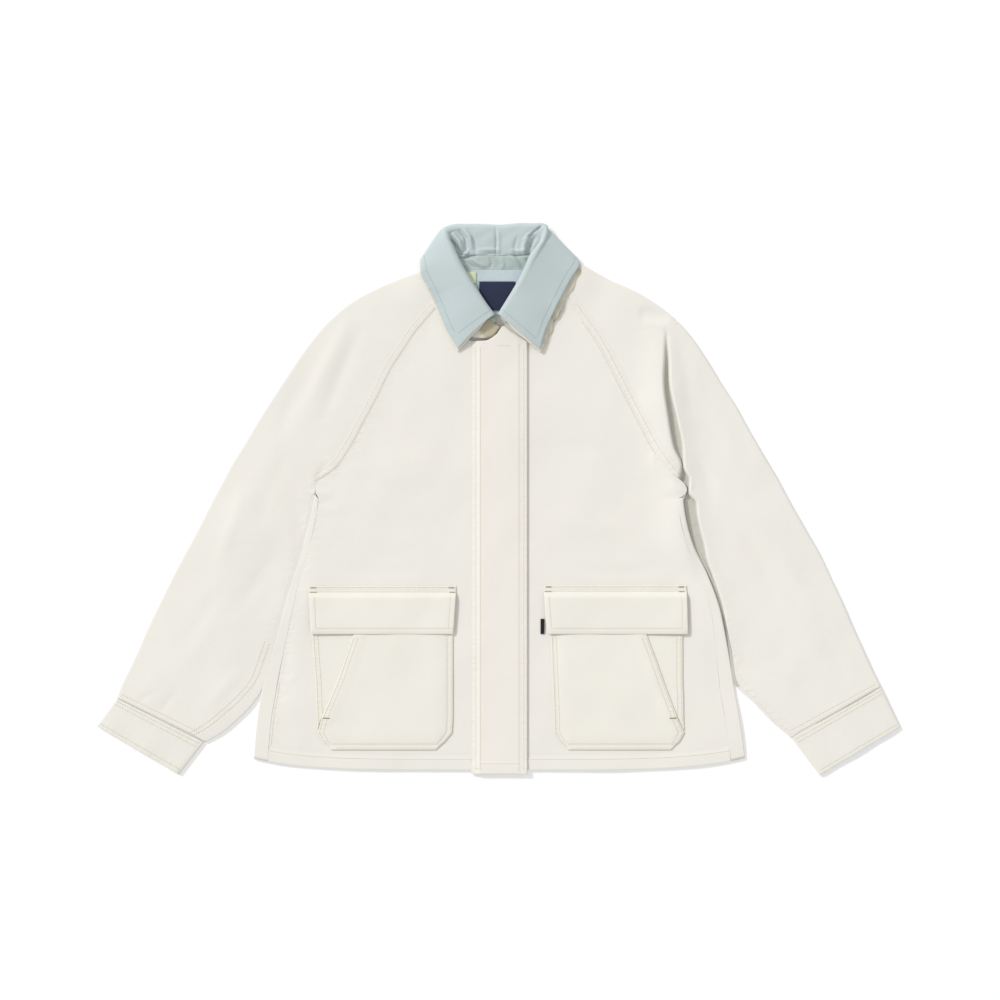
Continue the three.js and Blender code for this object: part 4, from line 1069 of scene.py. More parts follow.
class Wiring:
    """Short calls for adding and linking shader nodes."""

    def __init__(self, tree: bpy.types.NodeTree) -> None:
        """Keeps the tree."""
        self.tree = tree

    def add(self, kind: str, **settings: object) -> bpy.types.Node:
        """Adds a node; settings named in_X set the input X, others set properties."""
        node = self.tree.nodes.new(kind)
        for key, value in settings.items():
            if key.startswith("in_"):
                self.feed(node.inputs[key[3:].replace("_", " ")], value)
            else:
                setattr(node, key, value)
        return node

    def feed(self, socket: bpy.types.NodeSocket, value: object) -> None:
        """Links a socket or sets its value."""
        if isinstance(value, bpy.types.NodeSocket):
            self.tree.links.new(value, socket)
        else:
            socket.default_value = value

    def math(self, operation: str, first: object, second: object = 0.0, clamp: bool = False) -> object:
        """Output of a Math node."""
        node = self.add("ShaderNodeMath", operation=operation, use_clamp=clamp)
        self.feed(node.inputs[0], first)
        self.feed(node.inputs[1], second)
        return node.outputs[0]

    def mix(self, factor: object, first: object, second: object) -> object:
        """Colour between two colours."""
        node = self.add("ShaderNodeMix", data_type="RGBA")
        for place, value in ((0, factor), (6, first), (7, second)):
            self.feed(node.inputs[place], value)
        return node.outputs[2]

    def bump(self, height: object, strength: float, distance: float, normal: object = None) -> object:
        """Normal of a Bump node.

        Args:
            height: The socket that gives the height.
            strength: The node's strength.
            distance: Height of a full step, in metres.
            normal: The normal that it starts from, or None for the surface's own.

        Returns:
            The new normal's socket.
        """
        node = self.add("ShaderNodeBump", in_Height=height)
        node.inputs["Strength"].default_value = strength
        node.inputs["Distance"].default_value = distance
        if normal is not None:
            self.feed(node.inputs["Normal"], normal)
        return node.outputs[0]

    def noise(self, vector: object, scale: float, detail: float = 2.0, rough: float = 0.5) -> object:
        """Value of a Noise texture.

        Args:
            vector: The socket that gives the place.
            scale: Size of the pattern, per metre.
            detail: How many finer layers it has.
            rough: How strong they are.

        Returns:
            The value's socket.
        """
        node = self.add("ShaderNodeTexNoise")
        node.inputs["Scale"].default_value = scale
        node.inputs["Detail"].default_value = detail
        node.inputs["Roughness"].default_value = rough
        self.feed(node.inputs["Vector"], vector)
        return node.outputs[0]


def weave_group() -> bpy.types.NodeTree:
    """Plain weave: over and under threads with uneven thickness."""
    tree = new_group("PlainWeave", {"Vector": "NodeSocketVector", "Thread": "NodeSocketFloat"},
                     {"Height": "NodeSocketFloat", "Slub": "NodeSocketFloat"})
    wire = Wiring(tree)
    source = tree.nodes["Group Input"]
    apart = wire.add("ShaderNodeSeparateXYZ", in_Vector=source.outputs["Vector"])
    drift = wire.math("MULTIPLY", wire.noise(source.outputs["Vector"], 90.0, 1.0), 0.5)
    count = wire.math("DIVIDE", math.pi, source.outputs["Thread"])
    warp = wire.math("ADD", wire.math("MULTIPLY", apart.outputs[0], count), drift)
    weft = wire.math("ADD", wire.math("MULTIPLY", apart.outputs[1], count), drift)
    sines = [wire.math("SINE", warp), wire.math("SINE", weft)]
    over = [wire.math("POWER", wire.math("ABSOLUTE", s), 0.7) for s in sines]
    swap = wire.math("SIGN", wire.math("MULTIPLY", sines[0], sines[1]))
    side = wire.math("MULTIPLY_ADD", swap, 0.5)
    side.node.inputs[2].default_value = 0.5
    mix = wire.add("ShaderNodeMix", data_type="FLOAT", in_Factor=side)
    wire.feed(mix.inputs[2], over[0])
    wire.feed(mix.inputs[3], over[1])
    streaks = []
    for way in ((260.0, 14.0, 1.0), (14.0, 260.0, 1.0)):
        stretch = wire.add("ShaderNodeVectorMath", operation="MULTIPLY")
        wire.feed(stretch.inputs[0], source.outputs["Vector"])
        stretch.inputs[1].default_value = way
        streaks.append(wire.noise(stretch.outputs[0], 4.0, 2.0))
    slub = wire.math("MULTIPLY", wire.math("ADD", streaks[0], streaks[1]), 0.5)
    height = wire.math("ADD", mix.outputs[0], wire.math("MULTIPLY", slub, 0.6))
    sink = tree.nodes["Group Output"]
    wire.feed(sink.inputs["Height"], height)
    wire.feed(sink.inputs["Slub"], slub)
    return tree


def pucker_group() -> bpy.types.NodeTree:
    """Short puckers that run away from sewn edges."""
    tree = new_group("SeamPucker", {"Edge": "NodeSocketFloat", "Run": "NodeSocketFloat"},
                     {"Height": "NodeSocketFloat", "Near": "NodeSocketFloat"})
    wire = Wiring(tree)
    source = tree.nodes["Group Input"]
    place = wire.add("ShaderNodeCombineXYZ", in_X=source.outputs["Run"],
                     in_Y=wire.math("MULTIPLY", source.outputs["Edge"], 0.35))
    waves = wire.noise(place.outputs[0], 170.0, 2.0, 0.6)
    away = wire.math("DIVIDE", source.outputs["Edge"], 0.010)
    near = wire.math("EXPONENT", wire.math("MULTIPLY", wire.math("MULTIPLY", away, away), -1.0))
    height = wire.math("MULTIPLY", wire.math("SUBTRACT", waves, 0.5), near)
    sink = tree.nodes["Group Output"]
    wire.feed(sink.inputs["Height"], height)
    wire.feed(sink.inputs["Near"], near)
    return tree


class Wardrobe:
    """Makes and keeps the materials."""

    def __init__(self) -> None:
        """Makes the shared shader groups."""
        self.weave = weave_group()
        self.pucker = pucker_group()
        self.made: dict[str, bpy.types.Material] = {}

    def cloth(self, finish: ClothFinish) -> bpy.types.Material:
        """Woven cloth with mottling, flecks, seam puckers, worn edges and painted shade: darker between the
        threads and, where the shade attribute says, in deep places.

        Args:
            finish: The cloth's look.

        Returns:
            The material.
        """
        if finish.name in self.made:
            return self.made[finish.name]
        material = bpy.data.materials.new(finish.name)
        material.use_nodes = True
        wire = Wiring(material.node_tree)
        shader = material.node_tree.nodes["Principled BSDF"]
        place = wire.add("ShaderNodeTexCoord").outputs["Object"]
        flat = wire.add("ShaderNodeUVMap", uv_map="cloth").outputs[0]
        weave = wire.add("ShaderNodeGroup", node_tree=self.weave)
        wire.feed(weave.inputs["Vector"], flat)
        weave.inputs["Thread"].default_value = finish.thread_mm * MM
        pucker = wire.add("ShaderNodeGroup", node_tree=self.pucker)
        for name in ("edge", "run"):
            read = wire.add("ShaderNodeAttribute", attribute_name=name)
            wire.feed(pucker.inputs[name.capitalize()], read.outputs["Fac"])
        broad = wire.noise(place, 9.0, 3.0)
        fine = wire.noise(place, 60.0, 3.0)
        base = linear(finish.colour)
        dim = tinted(base, (1 - finish.mottle * 1.6,) * 3)
        warm = tinted(base, (1.0, 0.985, 0.955))
        blend = wire.mix(wire.math("MULTIPLY", broad, 0.5), base, warm)
        # Painted shade between the threads: the colour darkens on the weave's low spots, and it also varies
        # with fine random tone
        low = wire.math("MULTIPLY", wire.math("SUBTRACT", 1.0, weave.outputs["Height"], True), 0.8)
        dimness = wire.math("ADD", low, wire.math("MULTIPLY", fine, 0.25), True)
        colour = wire.mix(dimness, blend, dim)
        if finish.fleck > 0:
            spots = wire.noise(place, 900.0, 1.0, 0.7)
            ramp = wire.add("ShaderNodeMapRange", in_Value=spots)
            ramp.inputs["From Min"].default_value = 0.70
            ramp.inputs["From Max"].default_value = 0.80
            ramp.inputs["To Max"].default_value = finish.fleck
            colour = wire.mix(ramp.outputs[0], colour, tinted(base, (0.8, 0.72, 0.55)))
        wear = wire.math("MULTIPLY", pucker.outputs["Near"], wire.math("MULTIPLY", fine, 0.22))
        worn = wire.mix(wear, colour, tinted(warm, (0.9, 0.9, 0.9)))
        # Painted shade: where the shade attribute rises to 1, the colour is mixed towards the finish's
        # darker deep tint
        shade = wire.add("ShaderNodeAttribute", attribute_name="shade").outputs["Fac"]
        wire.feed(shader.inputs["Base Color"], wire.mix(shade, worn, tinted(base, finish.deep)))
        rumple = wire.math("ADD", wire.math("MULTIPLY", fine, 0.5), wire.noise(place, 26.0, 4.0))
        rumpled = wire.bump(rumple, 0.25, 0.0012)
        drawn = wire.bump(pucker.outputs["Height"], 0.55 * finish.pucker, 0.0020, rumpled)
        threads = wire.bump(weave.outputs["Height"], finish.weave, 0.00022, drawn)
        wire.feed(shader.inputs["Normal"], threads)
        shader.inputs["Roughness"].default_value = finish.roughness
        shader.inputs["Specular IOR Level"].default_value = 0.2
        shader.inputs["Sheen Weight"].default_value = finish.sheen
        shader.inputs["Sheen Roughness"].default_value = 0.5
        self.made[finish.name] = material
        return material

    def thread(self, finish: ThreadFinish) -> bpy.types.Material:
        """Twisted sewing thread.

        Args:
            finish: The thread's look.

        Returns:
            The material.
        """
        if finish.name in self.made:
            return self.made[finish.name]
        material = bpy.data.materials.new(finish.name)
        material.use_nodes = True
        wire = Wiring(material.node_tree)
        shader = material.node_tree.nodes["Principled BSDF"]
        place = wire.add("ShaderNodeTexCoord").outputs["Object"]
        uneven = wire.noise(place, 1400.0, 2.0)
        base = linear(finish.colour)
        mix = wire.mix(uneven, base, tinted(base, (0.86, 0.86, 0.86)))
        wire.feed(shader.inputs["Base Color"], mix)
        wire.feed(shader.inputs["Normal"], wire.bump(uneven, 0.4, 0.0001))
        shader.inputs["Roughness"].default_value = finish.roughness
        self.made[finish.name] = material
        return material


class Sewing:
    """Collects stitches and makes them as joined meshes."""

    PITCH = 3.3
    LENGTH = 2.5
    RADIUS = 0.36
    SIDES = 5

    def __init__(self, name: str, material: bpy.types.Material) -> None:
        """Starts an empty seam.

        Args:
            name: The piece's name.
            material: The thread.
        """
        self.name = name
        self.material = material
        self.rings: list[np.ndarray] = []

    def row(self, line: np.ndarray, pitch: float = PITCH, length: float = LENGTH,
            radius: float = RADIUS) -> None:
        """Lays a row of stitches along a line.

        Args:
            line: Rows of x, y, z and the normal.
            pitch: From one stitch to the next.
            length: Of one stitch.
            radius: Of the thread.
        """
        steps = np.linalg.norm(np.diff(line[:, :3], axis=0), axis=1)
        lengths = np.concatenate([[0], np.cumsum(steps)])
        total = lengths[-1]
        count = int(total // pitch)
        if count < 1:
            return
        spare = (total - count * pitch) / 2
        for k in range(count):
            middle = spare + (k + 0.5) * pitch
            places = np.array([middle - length / 2, middle, middle + length / 2])
            found = np.stack([np.interp(places, lengths, line[:, c]) for c in range(6)], 1)
            self.stitch(found[:, :3], found[:, 3:], radius)

    def stitch(self, points: np.ndarray, normals: np.ndarray, radius: float) -> None:
        """One stitch as a thin capsule that dips into the cloth at both ends.

        Args:
            points: Its ends and middle.
            normals: The cloth's normals there.
            radius: Of the thread.
        """
        ahead = points[-1] - points[0]
        ahead = ahead / np.linalg.norm(ahead)
        normal = normals[1] / np.linalg.norm(normals[1])
        side = np.cross(ahead, normal)
        angles = 2 * np.pi * np.arange(self.SIDES) / self.SIDES
        rings = []
        for point, size, lift in zip(points, (0.45, 1.0, 0.45), (-0.15, 0.12, -0.15)):
            centre = point + normal * lift
            rings.append([
                centre + radius * size * (side * math.cos(a) + normal * math.sin(a)) for a in angles
            ])
        self.rings.append(np.array(rings))

    def build(self) -> bpy.types.Object:
        """Makes the joined mesh."""
        sides = self.SIDES
        base = []
        for ring in range(2):
            for k in range(sides):
                n = (k + 1) % sides
                low, high = ring * sides, (ring + 1) * sides
                base.append((low + k, low + n, high + n, high + k))
        caps = [tuple(range(sides))[::-1], tuple(range(2 * sides, 3 * sides))]
        vertices = np.concatenate([r.reshape(-1, 3) for r in self.rings]) * MM
        faces = []
        for k in range(len(self.rings)):
            shift = k * 3 * sides
            faces += [tuple(v + shift for v in face) for face in (*base, *caps)]
        mesh = bpy.data.meshes.new(self.name)
        mesh.from_pydata(vertices.tolist(), [], faces)
        mesh.shade_smooth()
        mesh.materials.append(self.material)
        piece = bpy.data.objects.new(self.name, mesh)
        bpy.context.scene.collection.objects.link(piece)
        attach(piece, "root")
        log.info("%s: %d stitches", self.name, len(self.rings))
        return piece


@dataclass(frozen=True)
class Cut:
    """The flat size of a cloth piece before it was sewn, in metres, and what it lies on."""

    width: float
    length: float
    area: float
    rests_on: tuple[str, ...]


@dataclass
class Seams:
    """The jacket's sewing, collected seam by seam."""

    cream: Sewing
    pockets: Sewing
    blue: Sewing
    tacks: Sewing

    def build(self) -> None:
        """Makes the collected stitches."""
        for seam in (self.cream, self.pockets, self.blue, self.tacks):
            seam.build()


@dataclass
class Assembly:
    """What all sub-assemblies share: the cloth's heights, the materials and the sewing."""

    heights: Heights
    wardrobe: Wardrobe
    seams: Seams

    def hand_over(self, shell: Shell, finish: ClothFinish, slot: str, *nodes: str) -> bpy.types.Object:
        """Builds a shell, attaches it to the root and hides the solids it stands for.

        Args:
            shell: The wall of cloth.
            finish: Its look.
            slot: The record's material slot; not used.
            nodes: The solids it stands for.

        Returns:
            The piece.
        """
        piece = shell.build(self.wardrobe.cloth(finish))
        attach(piece, "root")
        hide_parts(*nodes)
        return piece

    def hook(self, x0: np.ndarray, y0: np.ndarray, inward: np.ndarray, wrap: np.ndarray,
             weights: np.ndarray, seam_z: np.ndarray | None = None) -> np.ndarray:
        """Edge strip of a layer: turned over, standing up or lying flat.

        Args:
            x0: Plan X of the edge on each row.
            y0: Plan Y of the edge.
            inward: Unit plan direction away from the edge.
            wrap: How far the turned strip reaches back over.
            weights: Shares of turned, upright and flat on each row.
            seam_z: Height of the turned strip's end, or None for the cloth's own height.

        Returns:
            Middle points from the strip's end to the lower layer, rows by 16 by 3.
        """
        spot_x = x0 + inward[:, 0] * TURN_REACH
        spot_y = y0 + inward[:, 1] * TURN_REACH
        low = self.heights.back(x0, y0) - CANVAS / 2
        high = self.heights.top(spot_x, spot_y) - CANVAS / 2
        radius = (high - low) / 2
        centre = radius + CANVAS / 2
        reach, height = [wrap * 1.0], []
        end_x, end_y = x0 + inward[:, 0] * wrap, y0 + inward[:, 1] * wrap
        height.append(self.heights.top(end_x, end_y) - CANVAS / 2 if seam_z is None else seam_z)
        for degrees in (90, 45, 0, -45, -90):
            angle = math.radians(degrees)
            square = math.copysign(abs(math.sin(angle)) ** SQUARENESS, angle)
            reach.append(centre - radius * math.cos(angle) ** SQUARENESS)
            height.append((low + high) / 2 + radius * square)
        turned = np.stack([np.stack(reach, 1), np.stack(height, 1)], 2)
        upright = np.broadcast_to(np.array(ARMPIT_STRIP, float), turned.shape)
        flat = np.stack([np.broadcast_to(np.array(FLAT_STEPS, float), turned.shape[:2]),
                         np.repeat(low[:, None], 6, 1)], 2)
        blend = (weights[:, 0, None, None] * turned + weights[:, 1, None, None] * upright
                 + weights[:, 2, None, None] * flat)
        knots = np.arange(6.0)
        spots = np.array([0, 0.05, 0.2, 0.45, 0.7, 0.9, 1, 1.33, 1.66, 2, 2.5, 3, 3.5, 4, 4.5, 5])
        fine = np.stack([through(knots, profile, spots) for profile in blend])
        points = np.empty((len(x0), len(spots), 3))
        points[..., 0] = x0[:, None] + inward[:, 0, None] * fine[..., 0]
        points[..., 1] = y0[:, None] + inward[:, 1, None] * fine[..., 0]
        points[..., 2] = fine[..., 1]
        return points


@dataclass
class Body(Assembly):
    """Back, fronts and placket."""

    placket_wall: float = 1.8
    placket_left: float = -34.0
    placket_right: float = 36.0
    placket_bottom: float = -343.0
    placket_top: float = 198.0
    placket_blend: float = 120.0
    placket_ramp: float = 12.0
    underlap_left: float = -21.0
    hem_extra: float = 0.6
    hem_width: float = 15.0

    def back(self) -> None:
        """The back, with its side folds turned over to the front."""
        rows = []
        for y, left, right, wrap, dip in BODY_ROWS:
            rows.append((left, y, right, y, wrap, dip, 1, 0, 0))
        (lx, ly), (rx, ry) = ARMPIT_BACK[Side.LEFT], ARMPIT_BACK[Side.RIGHT]
        rows.append((lx, ly, rx, ry, 0, 0, 0, 1, 0))
        for i in range(len(RAGLAN_ROWS[Side.LEFT]) - 1, -1, -1):
            a, b = RAGLAN_ROWS[Side.LEFT][i], RAGLAN_ROWS[Side.RIGHT][i]
            rows.append((a[0] + a[2] + SEAM, a[1] + a[3], b[0] + b[2] - SEAM, b[1] + b[3], 0, 0, 0, 0, 1))
        table = Table("lx ly rx ry wrap dip turned upright flat", rows, "lx ly rx ry")
        places = well_spaced(np.concatenate([np.arange(0, table.length, 4.0), np.arange(300, 345, 1.5)]),
                             table.length)
        row = table.at(places)
        linear_rows = np.stack([np.interp(places, table.knots, table.values[:, k]) for k in range(9)], 1)
        weights = linear_rows[:, 6:9]
        hooks = {}
        for side in Side:
            sign = side.value
            x0 = row["lx" if side is Side.LEFT else "rx"]
            y0 = row["ly" if side is Side.LEFT else "ry"]
            hooks[side] = self.hook(x0, y0, np.stack([np.full_like(x0, -sign), np.zeros_like(x0)], 1),
                                    linear_rows[:, 4], weights)
        left, right = hooks[Side.LEFT], hooks[Side.RIGHT][:, ::-1]
        count = 70
        share = np.arange(1, count) / count
        run = left[:, -1:, :2] * (1 - share[None, :, None]) + right[:, :1, :2] * share[None, :, None]
        z = self.heights.back(run[..., 0], run[..., 1]) - CANVAS / 2
        middle = np.concatenate([left, np.concatenate([run, z[..., None]], 2), right], axis=1)
        dip = row["dip"][:, None]
        middle[..., 1] += dip * (hem_drop(middle[..., 0]) - hem_drop(HEM_HALF))
        edge = np.full(middle.shape[:2], FAR_OFF)
        run_along = places[:, None].repeat(middle.shape[1], 1)
        shell = Shell("back_cloth", middle, CANVAS, edge, run_along, flat_of(middle))
        self.hand_over(shell, BODY_CLOTH, "canvas", "back")

    def front(self, side: Side) -> None:
        """One front, from side seam and raglan to its centre edge.

        Args:
            side: The viewer's left or right.
        """
        sign = side.value
        edge_name = "left" if side is Side.LEFT else "right"
        centre_x = self.placket_left - HAIR if side is Side.LEFT else self.underlap_left
        body = Table(BODY_COLUMNS, BODY_ROWS, "y").values
        rows = []
        for y, left, right, wrap, dip in body:
            fold = left if side is Side.LEFT else right
            rows.append((fold - sign * (wrap + HAIR), y, centre_x, y, dip, 0))
        armpit_x, armpit_y = ARMPIT_BACK[side]
        for share in (0.5, 1.0):
            edge_x = fold * (1 - share) + armpit_x * share - sign * (wrap * (1 - share) + 0.6 * share + HAIR)
            edge_y = y * (1 - share) + armpit_y * share
            rows.append((edge_x, edge_y, centre_x, edge_y, 0, 0))
        raglan = RAGLAN_ROWS[side]
        for i in range(len(raglan) - 1, -1, -1):
            seam_x, seam_y, centre_y = raglan[i][0], raglan[i][1], raglan[i][6]
            fade = NECK_FADE[i] if i < len(NECK_FADE) else 0
            rows.append((seam_x - sign * HAIR / 2, seam_y, centre_x, centre_y, 0, fade))
        table = Table("sx sy cx cy dip fade", rows, "sx sy cx cy")
        panel = Panel(table, ("sx", "sy"), ("cx", "cy"), sewn="lb", abut="lr" if side is Side.LEFT else "l")
        neck = np.array(NECK_EDGE[side], float)
        spans = np.linalg.norm(np.diff(neck, axis=0), axis=1)
        shares = np.concatenate([[0], np.cumsum(spans)]) / spans.sum()
        straight = neck[0] + (neck[-1] - neck[0]) * shares[:, None]
        sag = neck - straight
        bend = np.stack([np.interp(panel.share, shares, sag[:, k]) for k in range(2)], axis=-1)
        panel.plan = panel.plan + bend * panel.row["fade"][:, None, None]
        drop = panel.row["dip"][:, None] * (hem_drop(panel.x) - hem_drop(HEM_HALF))
        panel.plan[..., 1] += drop
        top = self.heights.top(panel.x, panel.y)
        hem = self.hem_extra * smooth((self.hem_width + 2 - panel.top_gap) / 2)
        groove = -0.35 * bell(panel.top_gap, self.hem_width + 1.5, 1.6)
        top = top + hem + groove
        raglan_start = float(table.knots[len(body) + 2])
        calm = smooth((panel.top_gap - raglan_start + 10) / 10) if side is Side.RIGHT else 1.0
        panel.edge = panel.edge + 40 * (1 - calm)
        if side is Side.RIGHT:
            beside = smooth((panel.top_gap - raglan_start) / 20)
            top = top + 0.35 * smooth((7.5 - panel.left_gap) / 2) * smooth(panel.left_gap / 2) * beside
        shell = panel.shell(f"front_{edge_name}_cloth", top, CANVAS)
        self.hand_over(shell, BODY_CLOTH, "canvas", f"front_{edge_name}")
        self.seams.cream.row(panel.inset(shell, "t", self.hem_width - 1.5, 0, float(panel.width[0]) - 1))
        if side is Side.LEFT:
            self.seams.cream.row(panel.inset(shell, "l", 2.6, 20, 100))
        else:
            self.seams.cream.row(panel.inset(shell, "l", 3.6, raglan_start + 46, table.length - 26))

    def placket(self) -> None:
        """The strip that covers the closure, sloping down into its seam on the left."""
        high = self.placket_top
        length = high - self.placket_bottom
        rows = [(self.placket_left, y, self.placket_right, y) for y in (self.placket_bottom, high)]
        table = Table("lx ly rx ry", rows, "lx ly rx ry")
        panel = Panel(table, ("lx", "ly"), ("rx", "ry"), sewn="lr", abut="l")
        top_x, top_y = np.array(PLACKET_TOP, float).T
        edge_y = through(top_x, top_y[:, None], panel.x[-1])[:, 0]
        rise = smooth((panel.y - self.placket_blend) / (high - self.placket_blend))
        panel.plan[..., 1] += rise * (edge_y - high)[None, :]
        ramp = smooth((panel.x - self.placket_left) / self.placket_ramp)
        full = self.hem_extra + LAP + self.placket_wall
        top = self.heights.top(panel.x, panel.y) + 0.2 + (full - 0.2) * ramp
        top = top + self.hem_extra * smooth((self.hem_width - panel.top_gap) / 2)
        top = top - 0.3 * bell(panel.left_gap, 6.5, 1.6)
        top = top - 0.25 * bell(panel.right_gap, 7.0, 1.8)
        shell = panel.shell("placket_cloth", top, self.placket_wall)
        self.hand_over(shell, PLACKET_CLOTH, "canvas", "placket")
        top_end = length - 6
        for distance in (6.0, 11.5):
            self.seams.cream.row(panel.inset(shell, "l", distance, 3, top_end))
        for distance in (4.5, 10.5):
            self.seams.cream.row(panel.inset(shell, "r", distance, 3, top_end - 2))
        self.seams.cream.row(panel.inset(shell, "t", 13.0, 8, 62))
        self.seams.cream.row(panel.inset(shell, "t", 7.5, 3, 13))
        self.seams.cream.row(self.across_line(shell, panel, 192.0, -3.0, 18.0))

    @staticmethod
    def across_line(shell: Shell, panel: Panel, y: float, left: float, right: float) -> np.ndarray:
        """A level line on a panel's outer face.

        Args:
            shell: The panel's wall.
            panel: The panel.
            y: Plan Y of the line.
            left: Plan X where it starts.
            right: Plan X where it ends.

        Returns:
            Rows of x, y, z and the normal.
        """
        both = np.concatenate([shell.outside(), shell.normals()], axis=2)
        order = 1 if panel.y[-1, 0] > panel.y[0, 0] else -1
        line = []
        for j in range(both.shape[1]):
            if left <= panel.x[len(both) // 2, j] <= right:
                heights = both[::order, j, 1]
                line.append([np.interp(y, heights, both[::order, j, k]) for k in range(6)])
        return np.array(line)


@dataclass
class Sleeves(Assembly):
    """Raglan sleeves and their cuff bands."""

    crown: float = 1.4
    upper_crown: float = 0.84
    fold_floor: float = 2.7
    outer_reach: float = 4.0
    cuff_wall: float = 1.6
    cuff_extra: float = 0.8
    cuff_crown: float = 0.9
    tuck = {Side.LEFT: 2.1, Side.RIGHT: 0.12}

    def sleeve(self, side: Side) -> None:
        """A flattened raglan sleeve: upper layer, outer fold, lower layer and underarm edge.

        Args:
            side: The viewer's left or right.
        """
        sign = side.value
        rows = []
        for r in RAGLAN_ROWS[side]:
            rows.append((r[0] + sign * HAIR / 2, r[1], r[4], r[5], r[0] + r[2], r[1] + r[3], 0, 0, 0, 1))
        for r in LOWER_ROWS[side]:
            x = r[0] + self.tuck[side]
            kind = (0, 1, 0) if r[4] == 0 else (1, 0, 0)
            rows.append((x, r[1], r[2], r[3], x, r[1], r[4], *kind))
        names = "ix iy ox oy bx by lap turned upright flat"
        table = Table(names, rows, "ix iy ox oy")
        armpit = float(table.knots[len(RAGLAN_ROWS[side])])
        places = well_spaced(np.concatenate([
            fine_places(table.length, 2.6), np.arange(armpit - 24, armpit + 24, 1.3),
        ]), table.length)
        row = table.at(places)
        weights = np.stack([np.interp(places, table.knots, table.values[:, k]) for k in (7, 8, 9)], 1)
        inner = np.stack([row["ix"], row["iy"]], 1)
        outer = np.stack([row["ox"], row["oy"]], 1)
        width = np.linalg.norm(outer - inner, axis=1)
        along = (outer - inner) / width[:, None]
        flatness = weights[:, 2]
        lap = np.interp(places, table.knots, table.values[:, 6])
        strip_end = weights[:, 0] * lap + weights[:, 1] * ARMPIT_STRIP[0][0]
        start = (1 - flatness) * np.maximum(strip_end + HAIR, 1.3)
        along_sleeve = smooth((places - armpit + 70) / 140)
        rise = self.upper_crown + (self.crown - self.upper_crown) * along_sleeve
        # upper layer
        model = fine_places(120.0, 2.6 if side is Side.LEFT else 1.25)
        near = model < FINE_REACH + 0.1
        reach = (width - self.outer_reach)[:, None]
        inner_share = np.clip((model - model[near][-1]) / (120.0 - model[near][-1]), 0, 1)[None, :]
        lead = start[:, None] + model[near][-1]
        close = start[:, None] + model[None, :]
        distance = np.where(near[None, :], close, lead + inner_share * (reach - lead))
        plan = inner[:, None, :] + along[:, None, :] * distance[..., None]
        full = self.heights.top(plan[..., 0], plan[..., 1])
        full = full + rise[:, None] * np.sin(np.pi * distance / width[:, None])
        lowness = np.zeros_like(full)
        if side is Side.RIGHT:
            lowness = channel_depth(plan[..., 0], plan[..., 1], (1 - flatness)[:, None])
        upper_z = full * (1 - lowness) + self.fold_floor * lowness
        beside = distance - start[:, None]
        fell = 0.45 * smooth((10.5 - beside) / 2.5) * smooth(beside / 4) * flatness[:, None]
        upper_z = upper_z + fell * (1 - lowness)
        upper = np.concatenate([plan, (upper_z - CANVAS / 2)[..., None]], 2)
        # outer fold
        spot = outer - along * TURN_REACH
        low = self.heights.back(spot[:, 0], spot[:, 1]) - CANVAS / 2
        high = self.heights.top(spot[:, 0], spot[:, 1]) - CANVAS / 2
        radius = (high - low) / 2
        centre = outer - along * (radius + CANVAS / 2)[:, None]
        turn = []
        for degrees in (90, 67, 45, 22, 0, -22, -45, -67, -90):
            angle = math.radians(degrees)
            flat_spot = centre + along * (radius * math.cos(angle))[:, None]
            height = (low + high) / 2 + radius * math.sin(angle)
            turn.append(np.concatenate([flat_spot, height[:, None]], 1))
        turn = np.stack(turn, 1)
        # underarm edge and lower layer
        edge_x = row["ix"] * (1 - flatness) + row["bx"] * flatness
        edge_y = row["iy"] * (1 - flatness) + (row["by"]) * flatness
        toward = np.stack([turn[:, -1, 0] - edge_x, turn[:, -1, 1] - edge_y], 1)
        toward = toward / np.linalg.norm(toward, axis=1, keepdims=True)
        edge_x = edge_x + toward[:, 0] * 0.175 * flatness
        edge_y = edge_y + toward[:, 1] * 0.175 * flatness
        hook = self.hook(edge_x, edge_y, toward, lap, weights, upper[:, 0, 2])
        if side is Side.RIGHT:
            hook = self.lowered(hook, channel_end(row["iy"]), flatness)
        hook = hook[:, ::-1]
        share = np.arange(1, 16) / 16
        run = turn[:, -1:, :2] * (1 - share[None, :, None]) + hook[:, :1, :2] * share[None, :, None]
        z = self.heights.back(run[..., 0], run[..., 1]) - CANVAS / 2
        lower = np.concatenate([run, z[..., None]], 2)
        middle = np.concatenate([upper, turn, lower, hook], 1)
        columns = upper.shape[1]
        edge = np.full(middle.shape[:2], FAR_OFF)
        edge[:, :columns] = distance - start[:, None]
        end_gap = (table.length - places)[:, None]
        edge = np.minimum(edge, end_gap)
        # Painted shade: on the right sleeve, the cloth that sinks into the deep fold and the underarm edge
        # below the armpit are tinted darker through the shade attribute
        shade = np.zeros(middle.shape[:2])
        shade[:, :columns] = lowness
        if side is Side.RIGHT:
            below = (flatness < 0.5) & (row["iy"] > -235)
            shade[:, -16:] = np.where(below, 1.0, 0.0)[:, None]
        run_along = places[:, None].repeat(middle.shape[1], 1)
        name = "left" if side is Side.LEFT else "right"
        shell = Shell(f"sleeve_{name}_cloth", middle, CANVAS, edge, run_along, flat_of(middle), shade=shade)
        self.hand_over(shell, SLEEVE_CLOTH, "canvas", f"sleeve_{name}")
        both = np.concatenate([shell.outside(), shell.normals()], 2)[:, :columns]
        if both[len(both) // 2, 10, 5] < 0:
            both[..., 3:] *= -1
            both[..., 2] += CANVAS
        gaps = distance - start[:, None]
        raglan = (places > 22) & (places < armpit - 10)
        for gap in (2.2, 9.0) if side is Side.LEFT else (4.6,):
            self.seams.cream.row(line_at(both, gaps, gap)[raglan])
        if side is Side.LEFT:
            for gap in (2.0, 8.0):
                self.seams.cream.row(line_at(both, gaps, gap)[places > table.length - 150])
        for gap in (2.5, 8.0):
            at = closest(table.length - places, gap)
            self.seams.cream.row(both[at, 3:-2])

